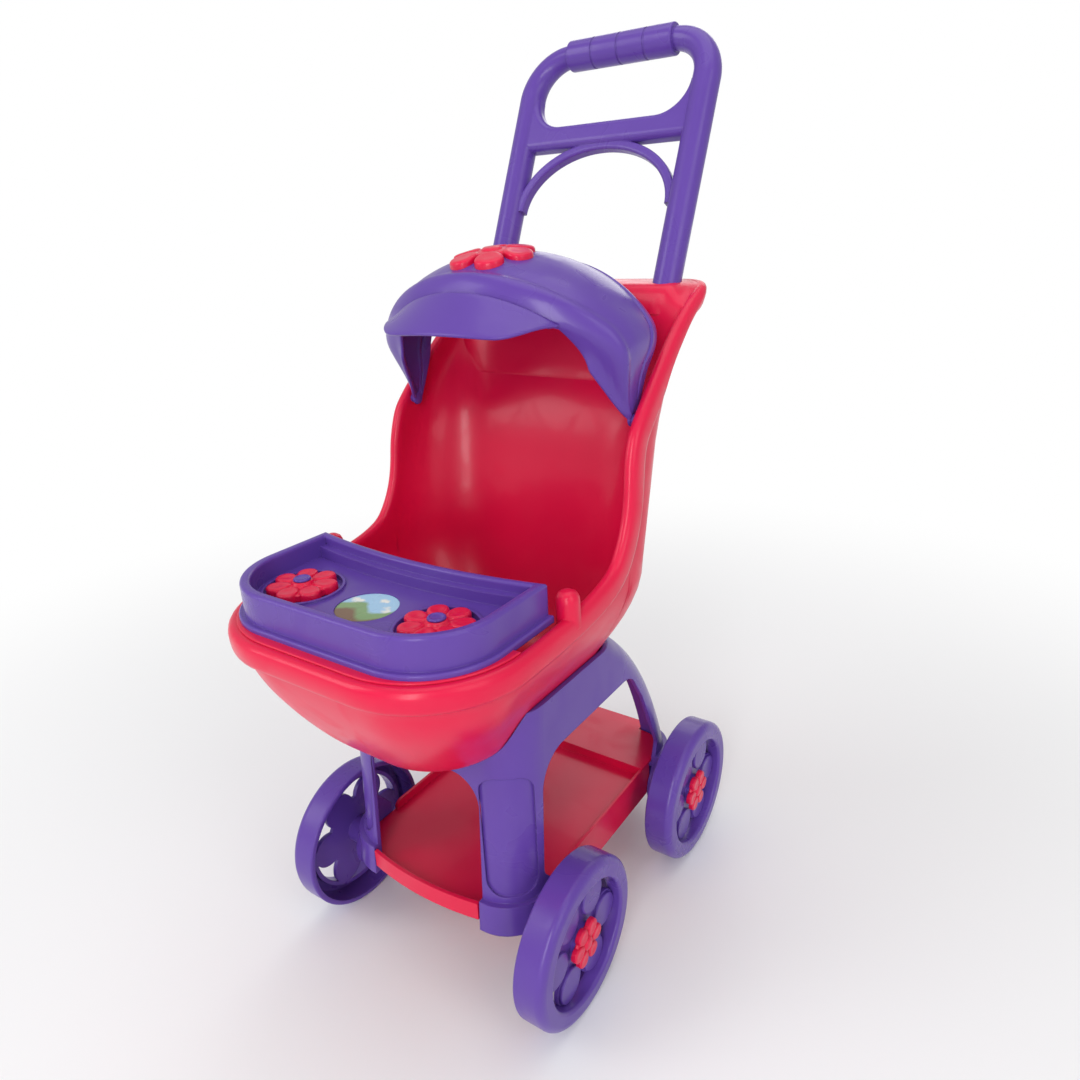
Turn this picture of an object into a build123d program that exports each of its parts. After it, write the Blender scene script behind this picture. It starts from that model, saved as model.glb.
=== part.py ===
"""Doll stroller: a moulded saddle chassis on four petal wheels carries a basket, a bucket seat with a
play tray, a tilting hood and a push handle. X runs across, Y from front to handle, Z up from the floor."""

import os

from build123d import *

os.makedirs("parts", exist_ok=True)

SIDES = {"left": -1, "right": 1}
FAR = 400.0

# Wheels and their stub axles
AXLE_Z = 60.0
AXLE_Y = {"front": -85.0, "rear": 102.6}
WHEEL_RADIUS = 60.0
WHEEL_INNER_X = 95.0
WHEEL_OUTER_X = 118.0
WHEEL_WALL = 4.0
WHEEL_LIP_RADIUS = 45.0
WHEEL_WEB_X = 106.5
WHEEL_WEB = 3.0
WHEEL_HUB_RADIUS = 11.0
WHEEL_BOSS_RADIUS = 13.0
WHEEL_BOSS_X = 113.0
WHEEL_CORE_RADIUS = 30.0
WHEEL_LIP_OUTER = 48.5
WHEEL_HUB_X = 95.2
WHEEL_EDGE = 6.0
WHEEL_LIP_EDGE = 2.5
WHEEL_BACK_EDGE = 1.5
PETALS = 6
PETAL_RING = 31.0
PETAL_LONG = 13.5
PETAL_WIDE = 12.6
PETAL_PROUD = 2.4
PETAL_EDGE = 1.0
PETAL_MARGIN = 1.5
PIN_RADIUS = 5.0
RUNNING_GAP = 0.08
PIN_END_X = 66.0
PIN_HEAD_X = 113.4
PIN_HEAD = 4.2
PIN_CORE = 8.0
PIN_CORE_TALL = 2.8
PIN_BUTTON = 4.0
PIN_PETAL_RING = 11.4
PIN_PETAL_LONG = 5.4
PIN_PETAL_WIDE = 4.8
PIN_PETAL_EDGE = 1.2
SIDE_GAP = 0.4

# Chassis: height, front and back of its rounded plan outline
CHASSIS_SECTIONS = (
    (67.0, -116.0, 134.5),
    (108.0, -113.5, 121.0),
    (169.0, -110.0, 91.0),
    (213.0, -107.5, 57.0),
    (238.0, -106.0, 27.0),
)
CHASSIS_HALF = 82.0
CHASSIS_CORNER = 30.0
CHASSIS_WALL = 3.6
CHASSIS_TOP = 236.0
CHANNEL_DEPTH = 1.8
CHANNEL_HALF = 18.0
CHANNEL_BOTTOM = 96.0
CHANNEL_TOP = 190.0
CHANNEL_CORNER = 12.0
FOOT_PROUD = 4.0
FOOT_TOP = 91.0
SIDE_ARCH = (
    (-71.0, 0.0), (-71.0, 88.0), (-84.0, 104.0), (-80.0, 195.0), (44.0, 195.0),
    (64.0, 165.0), (93.0, 104.0), (88.6, 90.0), (88.6, 0.0),
)
SIDE_ARCH_RADII = (6.0, 10.0, 26.0, 20.0, 40.0, 10.0, 6.0)
END_ARCH_HALF = 50.0
END_ARCH_TOP = 185.0
END_ARCH_CORNER = 22.0
DECK_BOTTOM = 198.5
DECK_HALF = 79.0
DECK_FRONT = -106.0
DECK_BACK = 63.0
DECK_CORNER = 27.0
SEAT_HOLLOW_ROWS = 6
BOSS_FLANGE_X = 78.4
BOSS_FLANGE = 22.0
BOSS_CONE_X = 86.0
BOSS_END_X = 94.6
BOSS_END = 12.0
BOSS_INNER = 11.0
TAB = 4.0
TAB_REACH = 40.0
TAB_INNER = {"front": -77.0, "rear": 88.0}

# Seat: height, front, back, half width, front corner radius, back corner radius
SEAT_SECTIONS = (
    (202.0, -125.0, 0.0, 46.0, 40.0, 40.0),
    (206.0, -141.0, 15.0, 59.0, 46.0, 44.0),
    (214.0, -152.0, 25.0, 67.0, 50.0, 46.0),
    (236.0, -168.0, 39.0, 78.2, 51.0, 46.0),
    (262.0, -181.0, 48.5, 93.0, 55.0, 44.0),
    (285.0, -189.0, 53.0, 101.5, 64.0, 43.0),
    (303.0, -191.0, 55.0, 102.5, 66.0, 42.0),
    (330.0, -191.0, 58.0, 102.5, 66.0, 38.0),
    (363.0, -191.0, 62.5, 102.0, 66.0, 33.0),
    (384.0, -191.0, 67.0, 101.0, 66.0, 30.0),
    (407.0, -191.0, 75.5, 100.5, 66.0, 27.0),
    (429.0, -191.0, 89.0, 99.5, 66.0, 24.0),
    (451.0, -191.0, 107.0, 98.5, 66.0, 19.0),
    (471.0, -191.0, 123.0, 98.0, 66.0, 14.0),
    (488.0, -191.0, 132.0, 98.0, 66.0, 12.0),
)
SEAT_WALL = 3.0
SEAT_FLOOR = 202.0
SEAT_GAP = 0.2
RIM_FIRST = 3
SHELF_FIRST = 11
RIM_Z = 302.0
RIM_PROUD = 6.0
RIM_DROP = (13.0, -17.0)
RIM_LINE = (
    (-230.0, RIM_Z), (-35.0, RIM_Z), (-5.0, 335.0), (1.0, 388.0), (19.0, 411.0), (97.0, 475.0),
    (150.0, 487.0),
)
RIM_LINE_RADII = (30.0, 30.0, 25.0, 20.0, 10.0)
SHELF = ((93.0, 468.0), (93.0, 476.0), (150.0, 489.0), (150.0, 484.0), (120.0, 477.0))
SHELF_HALF = 96.0
LUG = (101.0, -73.0)
LUG_RADIUS = 7.5
LUG_TOP = 320.0
LUG_ROUND = 5.0

# Handle: a frame drawn in its own plane, leaning back from the seat shelf
HANDLE_BASE = (0.0, 112.0, 481.0)
HANDLE_LEAN = (0.0, 0.408, 0.913)
HANDLE_PLANE = Plane(origin=HANDLE_BASE, x_dir=(1, 0, 0), z_dir=(0, -0.913, 0.408))
RAIL_X = 75.0
RAIL_RADIUS = 10.2
RAIL_DEPTH = 25.0
SOCKET_RADIUS = 13.5
SOCKET_FLOOR = 3.0
TOP_BAR = 181.4
TOP_BAR_RADIUS = 8.0
TOP_CORNER = 32.0
GRIP_HALF = 44.6
GRIP_RADIUS = 11.0
GRIP_EDGE = 1.2
GRIP_RINGS = (-22.3, 0.0, 22.3)
GRIP_GROOVE = 1.6
GRIP_GROOVE_DEPTH = 0.5
CROSS_BAR = 114.5
CROSS_BAR_TALL = 18.0
CROSS_BAR_DEEP = 14.0
CROSS_BAR_ROUND = 5.0
LOOP_CORNER = 24.0
RIB_FOOT = 57.0
RIB_HALF = 69.0
RIB_HEIGHT = 52.0
RIB_WIDTH = 7.0
RIB_DEEP = 9.0
RIB_ROUND = 2.0

# Hood: sections that fan out from the pivot axis. Each has its angle, half width at the foot, half width
# and radius where the straight side ends, half width and radius of the shoulder, and radius of the crown
HOOD_SECTIONS = (
    (62.0, 101.0, 101.0, 43.0, 92.0, 67.0, 108.0),
    (76.0, 101.5, 101.5, 42.0, 92.0, 66.0, 107.0),
    (90.0, 101.5, 101.5, 42.0, 92.0, 66.0, 106.0),
    (104.0, 101.5, 101.0, 42.0, 91.5, 66.0, 106.0),
    (115.0, 101.0, 99.5, 42.0, 89.0, 66.0, 105.8),
    (122.0, 100.5, 94.0, 42.5, 81.0, 70.0, 105.0),
    (127.0, 99.5, 86.0, 44.0, 66.0, 80.0, 103.0),
)
HOOD_WALL = 2.5
HOOD_OVERRUN = 1.0
HOOD_BORDER = 10.0
HOOD_BORDER_PROUD = 1.0
HOOD_FOOT = 10.0
HOOD_TRIM = ((23.0, 380.0), (-1.4, 389.8), (16.6, 412.8), (95.0, 477.2), (150.0, 380.0))
PIVOT = (23.0, 402.0)
PIVOT_CLEAR = 13.6
STUD_RADIUS = 3.5
STUD = 10.6
PIVOT_HOLE = 11.8
EAR_X = 91.8
EAR = 2.8
EAR_RADIUS = 7.0
EAR_ARM = 21.0
EAR_ARM_WIDE = 9.0
EAR_ANGLE = 108.0
EAR_BLOCK = 9.0
VISOR_Y = -33.0
VISOR_CROWN = 489.0
VISOR_DROP = 18.0
VISOR_HALF = 66.0
VISOR_REACH = 25.0
VISOR_WALL = 2.4
VISOR_ROOT = 25.0
VISOR_SIDE_ROOM = 1.0
VISOR_WEDGE = ((-153.0, 650.0), (-400.0, 650.0), (-400.0, 402.0))
SHOULDER_SHARE = 0.7
HOOD_FLOWER_ANGLE = 99.0
HOOD_FLOWER_BOTTOM = 98.0
HOOD_FLOWER_TOP = 111.0
HOOD_FLOWER_RING = 20.0
HOOD_PETAL_LONG = 9.8
HOOD_PETAL_WIDE = 8.6
HOOD_PETAL_EDGE = 1.8
HOOD_FLOWER_CORE = 13.5
HOOD_FLOWER_CORE_TOP = 109.0
HOOD_FLOWER_BUTTON = 6.0

# Tray: rounded outline on the seat rim with a hollowed back
TRAY_FRONT = -185.0
TRAY_BACK = -80.0
TRAY_HALF = 97.5
TRAY_CORNER = 52.0
TRAY_FLANGE_TOP = 306.5
TRAY_TOP = 327.0
TRAY_FLOOR = 313.0
TRAY_PLATE = 4.0
TRAY_BACK_CENTRE = 351.6
TRAY_BACK_RADIUS = 445.6
TRAY_BACK_WALL = 11.0
TRAY_STEP = 5.5
TRAY_STEP_Z = 320.5
TRAY_STEP_IN = 3.5
TRAY_RIM_IN = 10.0
TRAY_HOLLOW_IN = 7.0
TRAY_HOLLOW_BACK = 3.5
TRAY_EDGE = 2.2
TRAY_FLANGE_EDGE = 1.4
SPINNER = (56.0, -139.5)
SPINNER_WELL = 24.5
SPINNER_WELL_DEPTH = 1.8
SPINNER_RING = 2.0
SPINNER_RING_TALL = 1.5
SPINNER_PETALS = 7
SPINNER_PETAL_RING = 15.4
SPINNER_PETAL_LONG = 7.4
SPINNER_PETAL_WIDE = 6.1
SPINNER_PETAL_EDGE = 2.0
SPINNER_CORE = 11.5
SPINNER_CORE_TALL = 5.0
SPINNER_BOTTOM = 311.7
SPINNER_TOP = 319.0
SPINNER_PIN_RADIUS = 4.0
SPINNER_PIN_HEAD = 6.5
SPINNER_PIN_HEAD_TALL = 4.5
SPINNER_PIN_ROUND = 2.5
DISC_Y = -139.0
DISC_RADIUS = 19.5
DISC = 1.0
DISC_DEPTH = 1.5

# Basket: shallow floor, side skirts, front lip and a raised shelf at the back
BASKET_HALF = 77.8
BASKET_FRONT = -111.4
BASKET_CORNER = 25.5
BASKET_WALL = 2.5
BASKET_FLOOR = 79.0
BASKET_SIDE_TOP = 86.0
BASKET_SIDE_BOTTOM = 56.0
BASKET_SIDE = (-68.0, 86.0)
BASKET_SIDE_CORNER = 6.0
BASKET_STEP_Y = 75.0
BASKET_SHELF_TOP = 87.0
BASKET_BACK = 123.5
BASKET_TAIL = 137.0
BASKET_TAIL_HALF = 48.5
BASKET_TAIL_BOTTOM = 72.0
BASKET_LIP_HALF = 49.0
BASKET_LIP_Y = -119.5
BASKET_LIP_BULGE = 5.0
BASKET_LIP = (75.0, 89.0)
BASKET_LIP_WALL = 3.0
BASKET_LIP_ROOT = 6.0
BASKET_UNDERSIDE = {"front": BASKET_FLOOR - BASKET_WALL, "rear": BASKET_SHELF_TOP - BASKET_WALL}

# Screws
SCREW_RADIUS = 1.75
SCREW_HEAD_RADIUS = 3.6
SCREW_HEAD = 2.4
SEAT_SCREW_X = 30.0
SEAT_SCREW_Y = (-95.0, -25.0)
SEAT_SCREW_BITE = 2.2
BASKET_SCREW_X = 58.0
BASKET_SCREW_Y = {"front": -94.0, "rear": 104.0}
BASKET_SCREW_BITE = 1.8
HANDLE_SCREW_DOWN = 21.0
HANDLE_SCREW_TIP = 4.0
HANDLE_SCREW_SEAT = 15.5
HANDLE_PAD_RADIUS = 5.0

# Places worked out from the sizes above
SEAT_SCREW_PLACES = [(side * SEAT_SCREW_X, y) for side in SIDES.values() for y in SEAT_SCREW_Y]
SPINNER_PLACES = [(side * SPINNER[0], SPINNER[1]) for side in SIDES.values()]
WHEEL_PROFILE = (
    (WHEEL_HUB_X, PIN_RADIUS + RUNNING_GAP),
    (WHEEL_HUB_X, WHEEL_HUB_RADIUS),
    (WHEEL_WEB_X, WHEEL_HUB_RADIUS),
    (WHEEL_WEB_X, WHEEL_LIP_OUTER),
    (WHEEL_OUTER_X - WHEEL_WALL, WHEEL_LIP_OUTER),
    (WHEEL_OUTER_X - WHEEL_WALL, WHEEL_RADIUS - WHEEL_WALL),
    (WHEEL_INNER_X, WHEEL_RADIUS - WHEEL_WALL),
    (WHEEL_INNER_X, WHEEL_RADIUS),
    (WHEEL_OUTER_X, WHEEL_RADIUS),
    (WHEEL_OUTER_X, WHEEL_LIP_RADIUS),
    (WHEEL_WEB_X + WHEEL_WEB, WHEEL_LIP_RADIUS),
    (WHEEL_WEB_X + WHEEL_WEB, WHEEL_BOSS_RADIUS),
    (WHEEL_BOSS_X, WHEEL_BOSS_RADIUS),
    (WHEEL_BOSS_X, PIN_RADIUS + RUNNING_GAP),
)
WHEEL_ROUNDS = (
    ((WHEEL_OUTER_X, WHEEL_RADIUS), WHEEL_EDGE),
    ((WHEEL_OUTER_X, WHEEL_LIP_RADIUS), WHEEL_LIP_EDGE),
    ((WHEEL_INNER_X, WHEEL_RADIUS), WHEEL_BACK_EDGE),
)


def rounded_section(height, front, back, half_width, front_radius, back_radius, grow=0.0):
    """A level outline with its own corner radii at the front and at the back, grown outwards."""
    with BuildSketch(Plane.XY.offset(height)) as outline:
        with Locations((0, (front + back) / 2)):
            Rectangle(2 * (half_width + grow), back - front + 2 * grow)
        fillet(outline.vertices().group_by(Axis.Y)[0], front_radius + grow)
        fillet(outline.vertices().group_by(Axis.Y)[-1], back_radius + grow)
    return outline.sketch


def chassis_form(grow):
    """The saddle's plan outlines from the feet to the top of its beams."""
    return [
        rounded_section(height, front, back, CHASSIS_HALF, CHASSIS_CORNER, CHASSIS_CORNER, grow)
        for height, front, back in CHASSIS_SECTIONS
    ]


def seat_form(grow, first=0, rise=0.0):
    """The bucket's plan outlines; the two lowest are lifted by the floor's thickness for its inside."""
    lifts = [rise, rise] + [0.0] * (len(SEAT_SECTIONS) - 2)
    rows = list(zip(SEAT_SECTIONS, lifts))[first:]
    return [rounded_section(row[0] + lift, *row[1:], grow) for row, lift in rows]


def hood_form(grow, swing=0.0):
    """Sections of the hood about its pivot: straight sides, a round shoulder and a low crown. The end
    sections may swing outwards so that a hollow runs clean through both ends."""
    swings = [-swing] + [0.0] * (len(HOOD_SECTIONS) - 2) + [swing]
    sections = []
    for row, turn in zip(HOOD_SECTIONS, swings):
        angle, foot_half, side_half, side_top, shoulder_half, shoulder, crown = row
        out = Vector(0, 1, 0).rotate(Axis.X, angle + turn)
        plane = Plane(origin=(0, *PIVOT), x_dir=(1, 0, 0), z_dir=Vector(1, 0, 0).cross(out))
        foot = (foot_half + grow, HOOD_FOOT + grow)
        side = (side_half + grow, side_top)
        bend = (shoulder_half + grow * SHOULDER_SHARE, shoulder + grow * SHOULDER_SHARE)
        rise = (side[0] - foot[0], side[1] - foot[1])
        with BuildSketch(plane) as arch:
            with BuildLine():
                Line(foot, side)
                TangentArc(side, bend, tangent=rise)
                ThreePointArc(bend, (0, crown + grow), (-bend[0], bend[1]))
                TangentArc((-side[0], side[1]), (-bend[0], bend[1]), tangent=(-rise[0], rise[1]))
                Line((-side[0], side[1]), (-foot[0], foot[1]))
                Line((-foot[0], foot[1]), foot)
            make_face()
        sections.append(arch.sketch)
    return sections


def visor_outline():
    """End view of the visor's bowed blade."""
    end = VISOR_CROWN - VISOR_DROP
    with BuildSketch(Plane.XZ.offset(-VISOR_Y)) as outline:
        with BuildLine():
            ThreePointArc((-VISOR_HALF, end), (0, VISOR_CROWN), (VISOR_HALF, end))
            Line((VISOR_HALF, end), (VISOR_HALF, end - VISOR_WALL))
            under = end - VISOR_WALL
            ThreePointArc((VISOR_HALF, under), (0, VISOR_CROWN - VISOR_WALL), (-VISOR_HALF, under))
            Line((-VISOR_HALF, end - VISOR_WALL), (-VISOR_HALF, end))
        make_face()
    return outline.sketch


def petals(plane, count, ring, long, wide, tall, edge):
    """Raised oval petals on a ring, each pointing outwards, with their upper edges rounded."""
    with BuildPart() as pads:
        with BuildSketch(plane):
            with PolarLocations(ring, count):
                Ellipse(long, wide)
        extrude(amount=tall)
        tops = pads.faces().sort_by(Axis(plane.origin, plane.z_dir))[-count:]
        fillet(tops.edges(), edge)
    return pads.part


def disc(plane, radius, tall):
    """A plain round disc on a plane."""
    with BuildPart() as plate:
        with BuildSketch(plane):
            Circle(radius)
        extrude(amount=tall)
    return plate.part


def tray_outline(height, inset, back_inset):
    """The tray's plan: straight sides, wide front corners and a back edge hollowed by a large circle."""
    with BuildSketch(Plane.XY.offset(height)) as outline:
        with Locations((0, (TRAY_FRONT + inset + TRAY_BACK) / 2)):
            Rectangle(2 * (TRAY_HALF - inset), TRAY_BACK - TRAY_FRONT - inset)
        fillet(outline.vertices().group_by(Axis.Y)[0], TRAY_CORNER - inset)
        with Locations((0, TRAY_BACK_CENTRE)):
            Circle(TRAY_BACK_RADIUS + back_inset, mode=Mode.SUBTRACT)
    return outline.sketch


def axle_plane(side, place):
    """Plane through an axle whose x runs outwards and whose y is the distance from the axle."""
    return Plane(origin=(0, place, AXLE_Z), x_dir=(side, 0, 0), z_dir=(0, -side, 0))


def face_plane(side, out, place):
    """Upright plane facing outwards at a distance from the middle, centred on an axle."""
    return Plane(origin=(side * out, place, AXLE_Z), x_dir=(0, 1, 0), z_dir=(side, 0, 0))


def lip_outline(setback):
    """Plan of the basket's bowed front lip, back to where it meets the floor."""
    front = BASKET_LIP_Y + setback
    root = BASKET_FRONT + BASKET_LIP_ROOT
    with BuildSketch() as outline:
        with BuildLine():
            Line((-BASKET_LIP_HALF, root), (-BASKET_LIP_HALF, front))
            ThreePointArc(
                (-BASKET_LIP_HALF, front), (0, front - BASKET_LIP_BULGE), (BASKET_LIP_HALF, front)
            )
            Line((BASKET_LIP_HALF, front), (BASKET_LIP_HALF, root))
            Line((BASKET_LIP_HALF, root), (-BASKET_LIP_HALF, root))
        make_face()
    return outline.sketch


def leg_channel(side):
    """The sunk face of one front leg, as deep as the channel all round the bend."""
    corner = (side * (CHASSIS_HALF - CHASSIS_CORNER), CHASSIS_SECTIONS[0][1] + CHASSIS_CORNER, 0)
    with BuildPart() as channel:
        loft(chassis_form(CHANNEL_DEPTH))
        loft(chassis_form(-CHANNEL_DEPTH), mode=Mode.SUBTRACT)
        with BuildSketch(Plane(origin=corner, x_dir=(0, 0, 1), z_dir=(side, -1, 0))):
            with Locations(((CHANNEL_BOTTOM + CHANNEL_TOP) / 2, 0)):
                RectangleRounded(CHANNEL_TOP - CHANNEL_BOTTOM, 2 * CHANNEL_HALF, CHANNEL_CORNER)
        extrude(amount=FAR, mode=Mode.INTERSECT)
    return channel.part


def corner_tab(side, end, top):
    """A flat tab inside one corner leg, under the basket."""
    inner = TAB_INNER[end]
    with BuildPart() as tab:
        loft(chassis_form(-CHASSIS_WALL / 2))
        outer = inner - FAR if end == "front" else inner + FAR
        with BuildSketch(Plane.XY.offset(top - TAB)):
            with Locations((side * (TAB_REACH + FAR) / 2, (inner + outer) / 2)):
                Rectangle(FAR - TAB_REACH, FAR)
        extrude(amount=TAB, mode=Mode.INTERSECT)
    return tab.part


def rail_plane(side, along):
    """Plane across one handle rail at a distance along it from the shelf."""
    middle = HANDLE_PLANE.from_local_coords((side * RAIL_X, along, 0))
    return Plane(origin=middle, x_dir=(1, 0, 0), z_dir=HANDLE_LEAN)


def screw_plane(side):
    """Plane on a rail's axis that faces backwards, where the rail is screwed to its socket."""
    origin = HANDLE_PLANE.from_local_coords((side * RAIL_X, -HANDLE_SCREW_DOWN, 0))
    return Plane(origin=origin, x_dir=(1, 0, 0), z_dir=-HANDLE_PLANE.z_dir)


def screw(under_head, length):
    """A pan-head screw: its shank runs along the plane's normal, its head lies behind the plane."""
    with BuildPart() as fastener:
        with BuildSketch(under_head):
            Circle(SCREW_RADIUS)
        extrude(amount=length)
        with BuildSketch(under_head):
            Circle(SCREW_HEAD_RADIUS)
        extrude(amount=-SCREW_HEAD)
    return fastener.part


# Saddle chassis: a thin open shell that stands on four corner feet
with BuildPart() as chassis:
    loft(chassis_form(FOOT_PROUD))
    with BuildSketch(Plane.XY.offset(FOOT_TOP)):
        Rectangle(FAR, FAR)
    extrude(amount=FAR, mode=Mode.SUBTRACT)
    loft(chassis_form(0))
    # Sunk channels down the faces of the two front legs
    for side in SIDES.values():
        add(leg_channel(side), mode=Mode.SUBTRACT)
    loft(chassis_form(-CHASSIS_WALL), mode=Mode.SUBTRACT)
    # Arched openings in both sides, wider above the feet
    with BuildSketch(Plane.YZ):
        with BuildLine():
            side_arch = FilletPolyline(*SIDE_ARCH, radius=SIDE_ARCH_RADII)
            Line(side_arch @ 1, side_arch @ 0)
        make_face()
    extrude(amount=FAR, both=True, mode=Mode.SUBTRACT)
    # Open ends between the legs
    with BuildSketch(Plane.XZ):
        with BuildLine():
            end_arch = FilletPolyline(
                (-END_ARCH_HALF, 0), (-END_ARCH_HALF, END_ARCH_TOP),
                (END_ARCH_HALF, END_ARCH_TOP), (END_ARCH_HALF, 0), radius=END_ARCH_CORNER,
            )
            Line(end_arch @ 1, end_arch @ 0)
        make_face()
    extrude(amount=FAR, both=True, mode=Mode.SUBTRACT)
    # Deck under the seat
    with BuildSketch(Plane.XY.offset(DECK_BOTTOM)):
        with Locations((0, (DECK_FRONT + DECK_BACK) / 2)):
            RectangleRounded(2 * DECK_HALF, DECK_BACK - DECK_FRONT, DECK_CORNER)
    extrude(amount=SEAT_FLOOR - DECK_BOTTOM)
    # Hollow that takes the seat, and the level top of the beams
    loft(seat_form(SEAT_GAP)[:SEAT_HOLLOW_ROWS], mode=Mode.SUBTRACT)
    with BuildSketch(Plane.XY.offset(CHASSIS_TOP)):
        Rectangle(FAR, FAR)
    extrude(amount=FAR, mode=Mode.SUBTRACT)
    # Inner tabs that carry the corners of the basket
    for end, top in BASKET_UNDERSIDE.items():
        for side in SIDES.values():
            add(corner_tab(side, end, top))
    # Axle bosses with their bores
    for place in AXLE_Y.values():
        for side in SIDES.values():
            with BuildSketch(axle_plane(side, place)):
                Polygon(
                    (PIN_END_X, 0), (PIN_END_X, BOSS_INNER), (BOSS_FLANGE_X, BOSS_INNER),
                    (BOSS_FLANGE_X, BOSS_FLANGE), (BOSS_CONE_X, BOSS_FLANGE), (BOSS_END_X, BOSS_END),
                    (BOSS_END_X, 0), align=None,
                )
            revolve(axis=Axis((0, place, AXLE_Z), (1, 0, 0)))
            with BuildSketch(face_plane(side, PIN_END_X - PIN_RADIUS, place)):
                Circle(PIN_RADIUS)
            extrude(amount=WHEEL_OUTER_X - PIN_END_X, mode=Mode.SUBTRACT)
    # Clearance holes for the seat screws and the basket screws
    with BuildSketch(Plane.XY.offset(DECK_BOTTOM)):
        with Locations(*SEAT_SCREW_PLACES):
            Circle(SCREW_RADIUS)
    extrude(amount=SEAT_FLOOR - DECK_BOTTOM, mode=Mode.SUBTRACT)
    for end, top in BASKET_UNDERSIDE.items():
        with BuildSketch(Plane.XY.offset(top - TAB)):
            with Locations(*[(side * BASKET_SCREW_X, BASKET_SCREW_Y[end]) for side in SIDES.values()]):
                Circle(SCREW_RADIUS)
        extrude(amount=TAB, mode=Mode.SUBTRACT)
chassis.part.label = "chassis"
export_step(chassis.part, "parts/chassis.step")

# Basket: floor, raised rear shelf, side skirts, front lip and rear skirt in one moulding
with BuildPart() as basket:
    with BuildSketch(Plane.XY.offset(BASKET_FLOOR - BASKET_WALL)):
        with Locations((0, (BASKET_FRONT + BASKET_STEP_Y) / 2)):
            floor = Rectangle(2 * BASKET_HALF, BASKET_STEP_Y - BASKET_FRONT)
        fillet(floor.vertices().group_by(Axis.Y)[0], BASKET_CORNER)
    extrude(amount=BASKET_WALL)
    with BuildSketch(Plane.XY.offset(BASKET_FLOOR - BASKET_WALL)):
        add(lip_outline(0))
    extrude(amount=BASKET_WALL)
    with BuildSketch(Plane.XY.offset(BASKET_LIP[0])):
        add(lip_outline(0))
        add(lip_outline(BASKET_LIP_WALL), mode=Mode.SUBTRACT)
    extrude(amount=BASKET_LIP[1] - BASKET_LIP[0])
    with BuildSketch(Plane.XY.offset(BASKET_SHELF_TOP - BASKET_WALL)):
        with Locations((0, (BASKET_STEP_Y - BASKET_WALL + BASKET_BACK) / 2)):
            shelf = Rectangle(2 * BASKET_HALF, BASKET_BACK - BASKET_STEP_Y + BASKET_WALL)
        fillet(shelf.vertices().group_by(Axis.Y)[-1], BASKET_CORNER)
        with Locations((0, (BASKET_STEP_Y + BASKET_TAIL) / 2)):
            Rectangle(2 * BASKET_TAIL_HALF, BASKET_TAIL - BASKET_STEP_Y)
    extrude(amount=BASKET_WALL)
    with BuildSketch(Plane.XY.offset(BASKET_FLOOR - BASKET_WALL)):
        with Locations((0, BASKET_STEP_Y - BASKET_WALL / 2)):
            Rectangle(2 * BASKET_HALF, BASKET_WALL)
    extrude(amount=BASKET_SHELF_TOP - BASKET_FLOOR + BASKET_WALL)
    with BuildSketch(Plane.XY.offset(BASKET_TAIL_BOTTOM)):
        with Locations((0, BASKET_TAIL - BASKET_WALL / 2)):
            Rectangle(2 * BASKET_TAIL_HALF, BASKET_WALL)
    extrude(amount=BASKET_SHELF_TOP - BASKET_TAIL_BOTTOM)
    with BuildSketch(Plane.YZ.offset(-BASKET_HALF)):
        with Locations((sum(BASKET_SIDE) / 2, (BASKET_SIDE_TOP + BASKET_SIDE_BOTTOM) / 2)):
            RectangleRounded(
                BASKET_SIDE[1] - BASKET_SIDE[0], BASKET_SIDE_TOP - BASKET_SIDE_BOTTOM, BASKET_SIDE_CORNER
            )
    extrude(amount=BASKET_WALL)
    mirror(about=Plane.YZ)
    # Blind holes for the screws from below
    for end, top in BASKET_UNDERSIDE.items():
        with BuildSketch(Plane.XY.offset(top)):
            with Locations(*[(side * BASKET_SCREW_X, BASKET_SCREW_Y[end]) for side in SIDES.values()]):
                Circle(SCREW_RADIUS)
        extrude(amount=BASKET_SCREW_BITE, mode=Mode.SUBTRACT)
basket.part.label = "basket"
export_step(basket.part, "parts/basket.step")

# Bucket seat: thin shell with a rolled rim, a flared back, a top shelf and two handle sockets
with BuildPart() as shelf_slab:
    with BuildSketch(Plane.YZ):
        Polygon(*SHELF, align=None)
    extrude(amount=SHELF_HALF, both=True)
    loft(seat_form(0, first=SHELF_FIRST), mode=Mode.INTERSECT)

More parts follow.
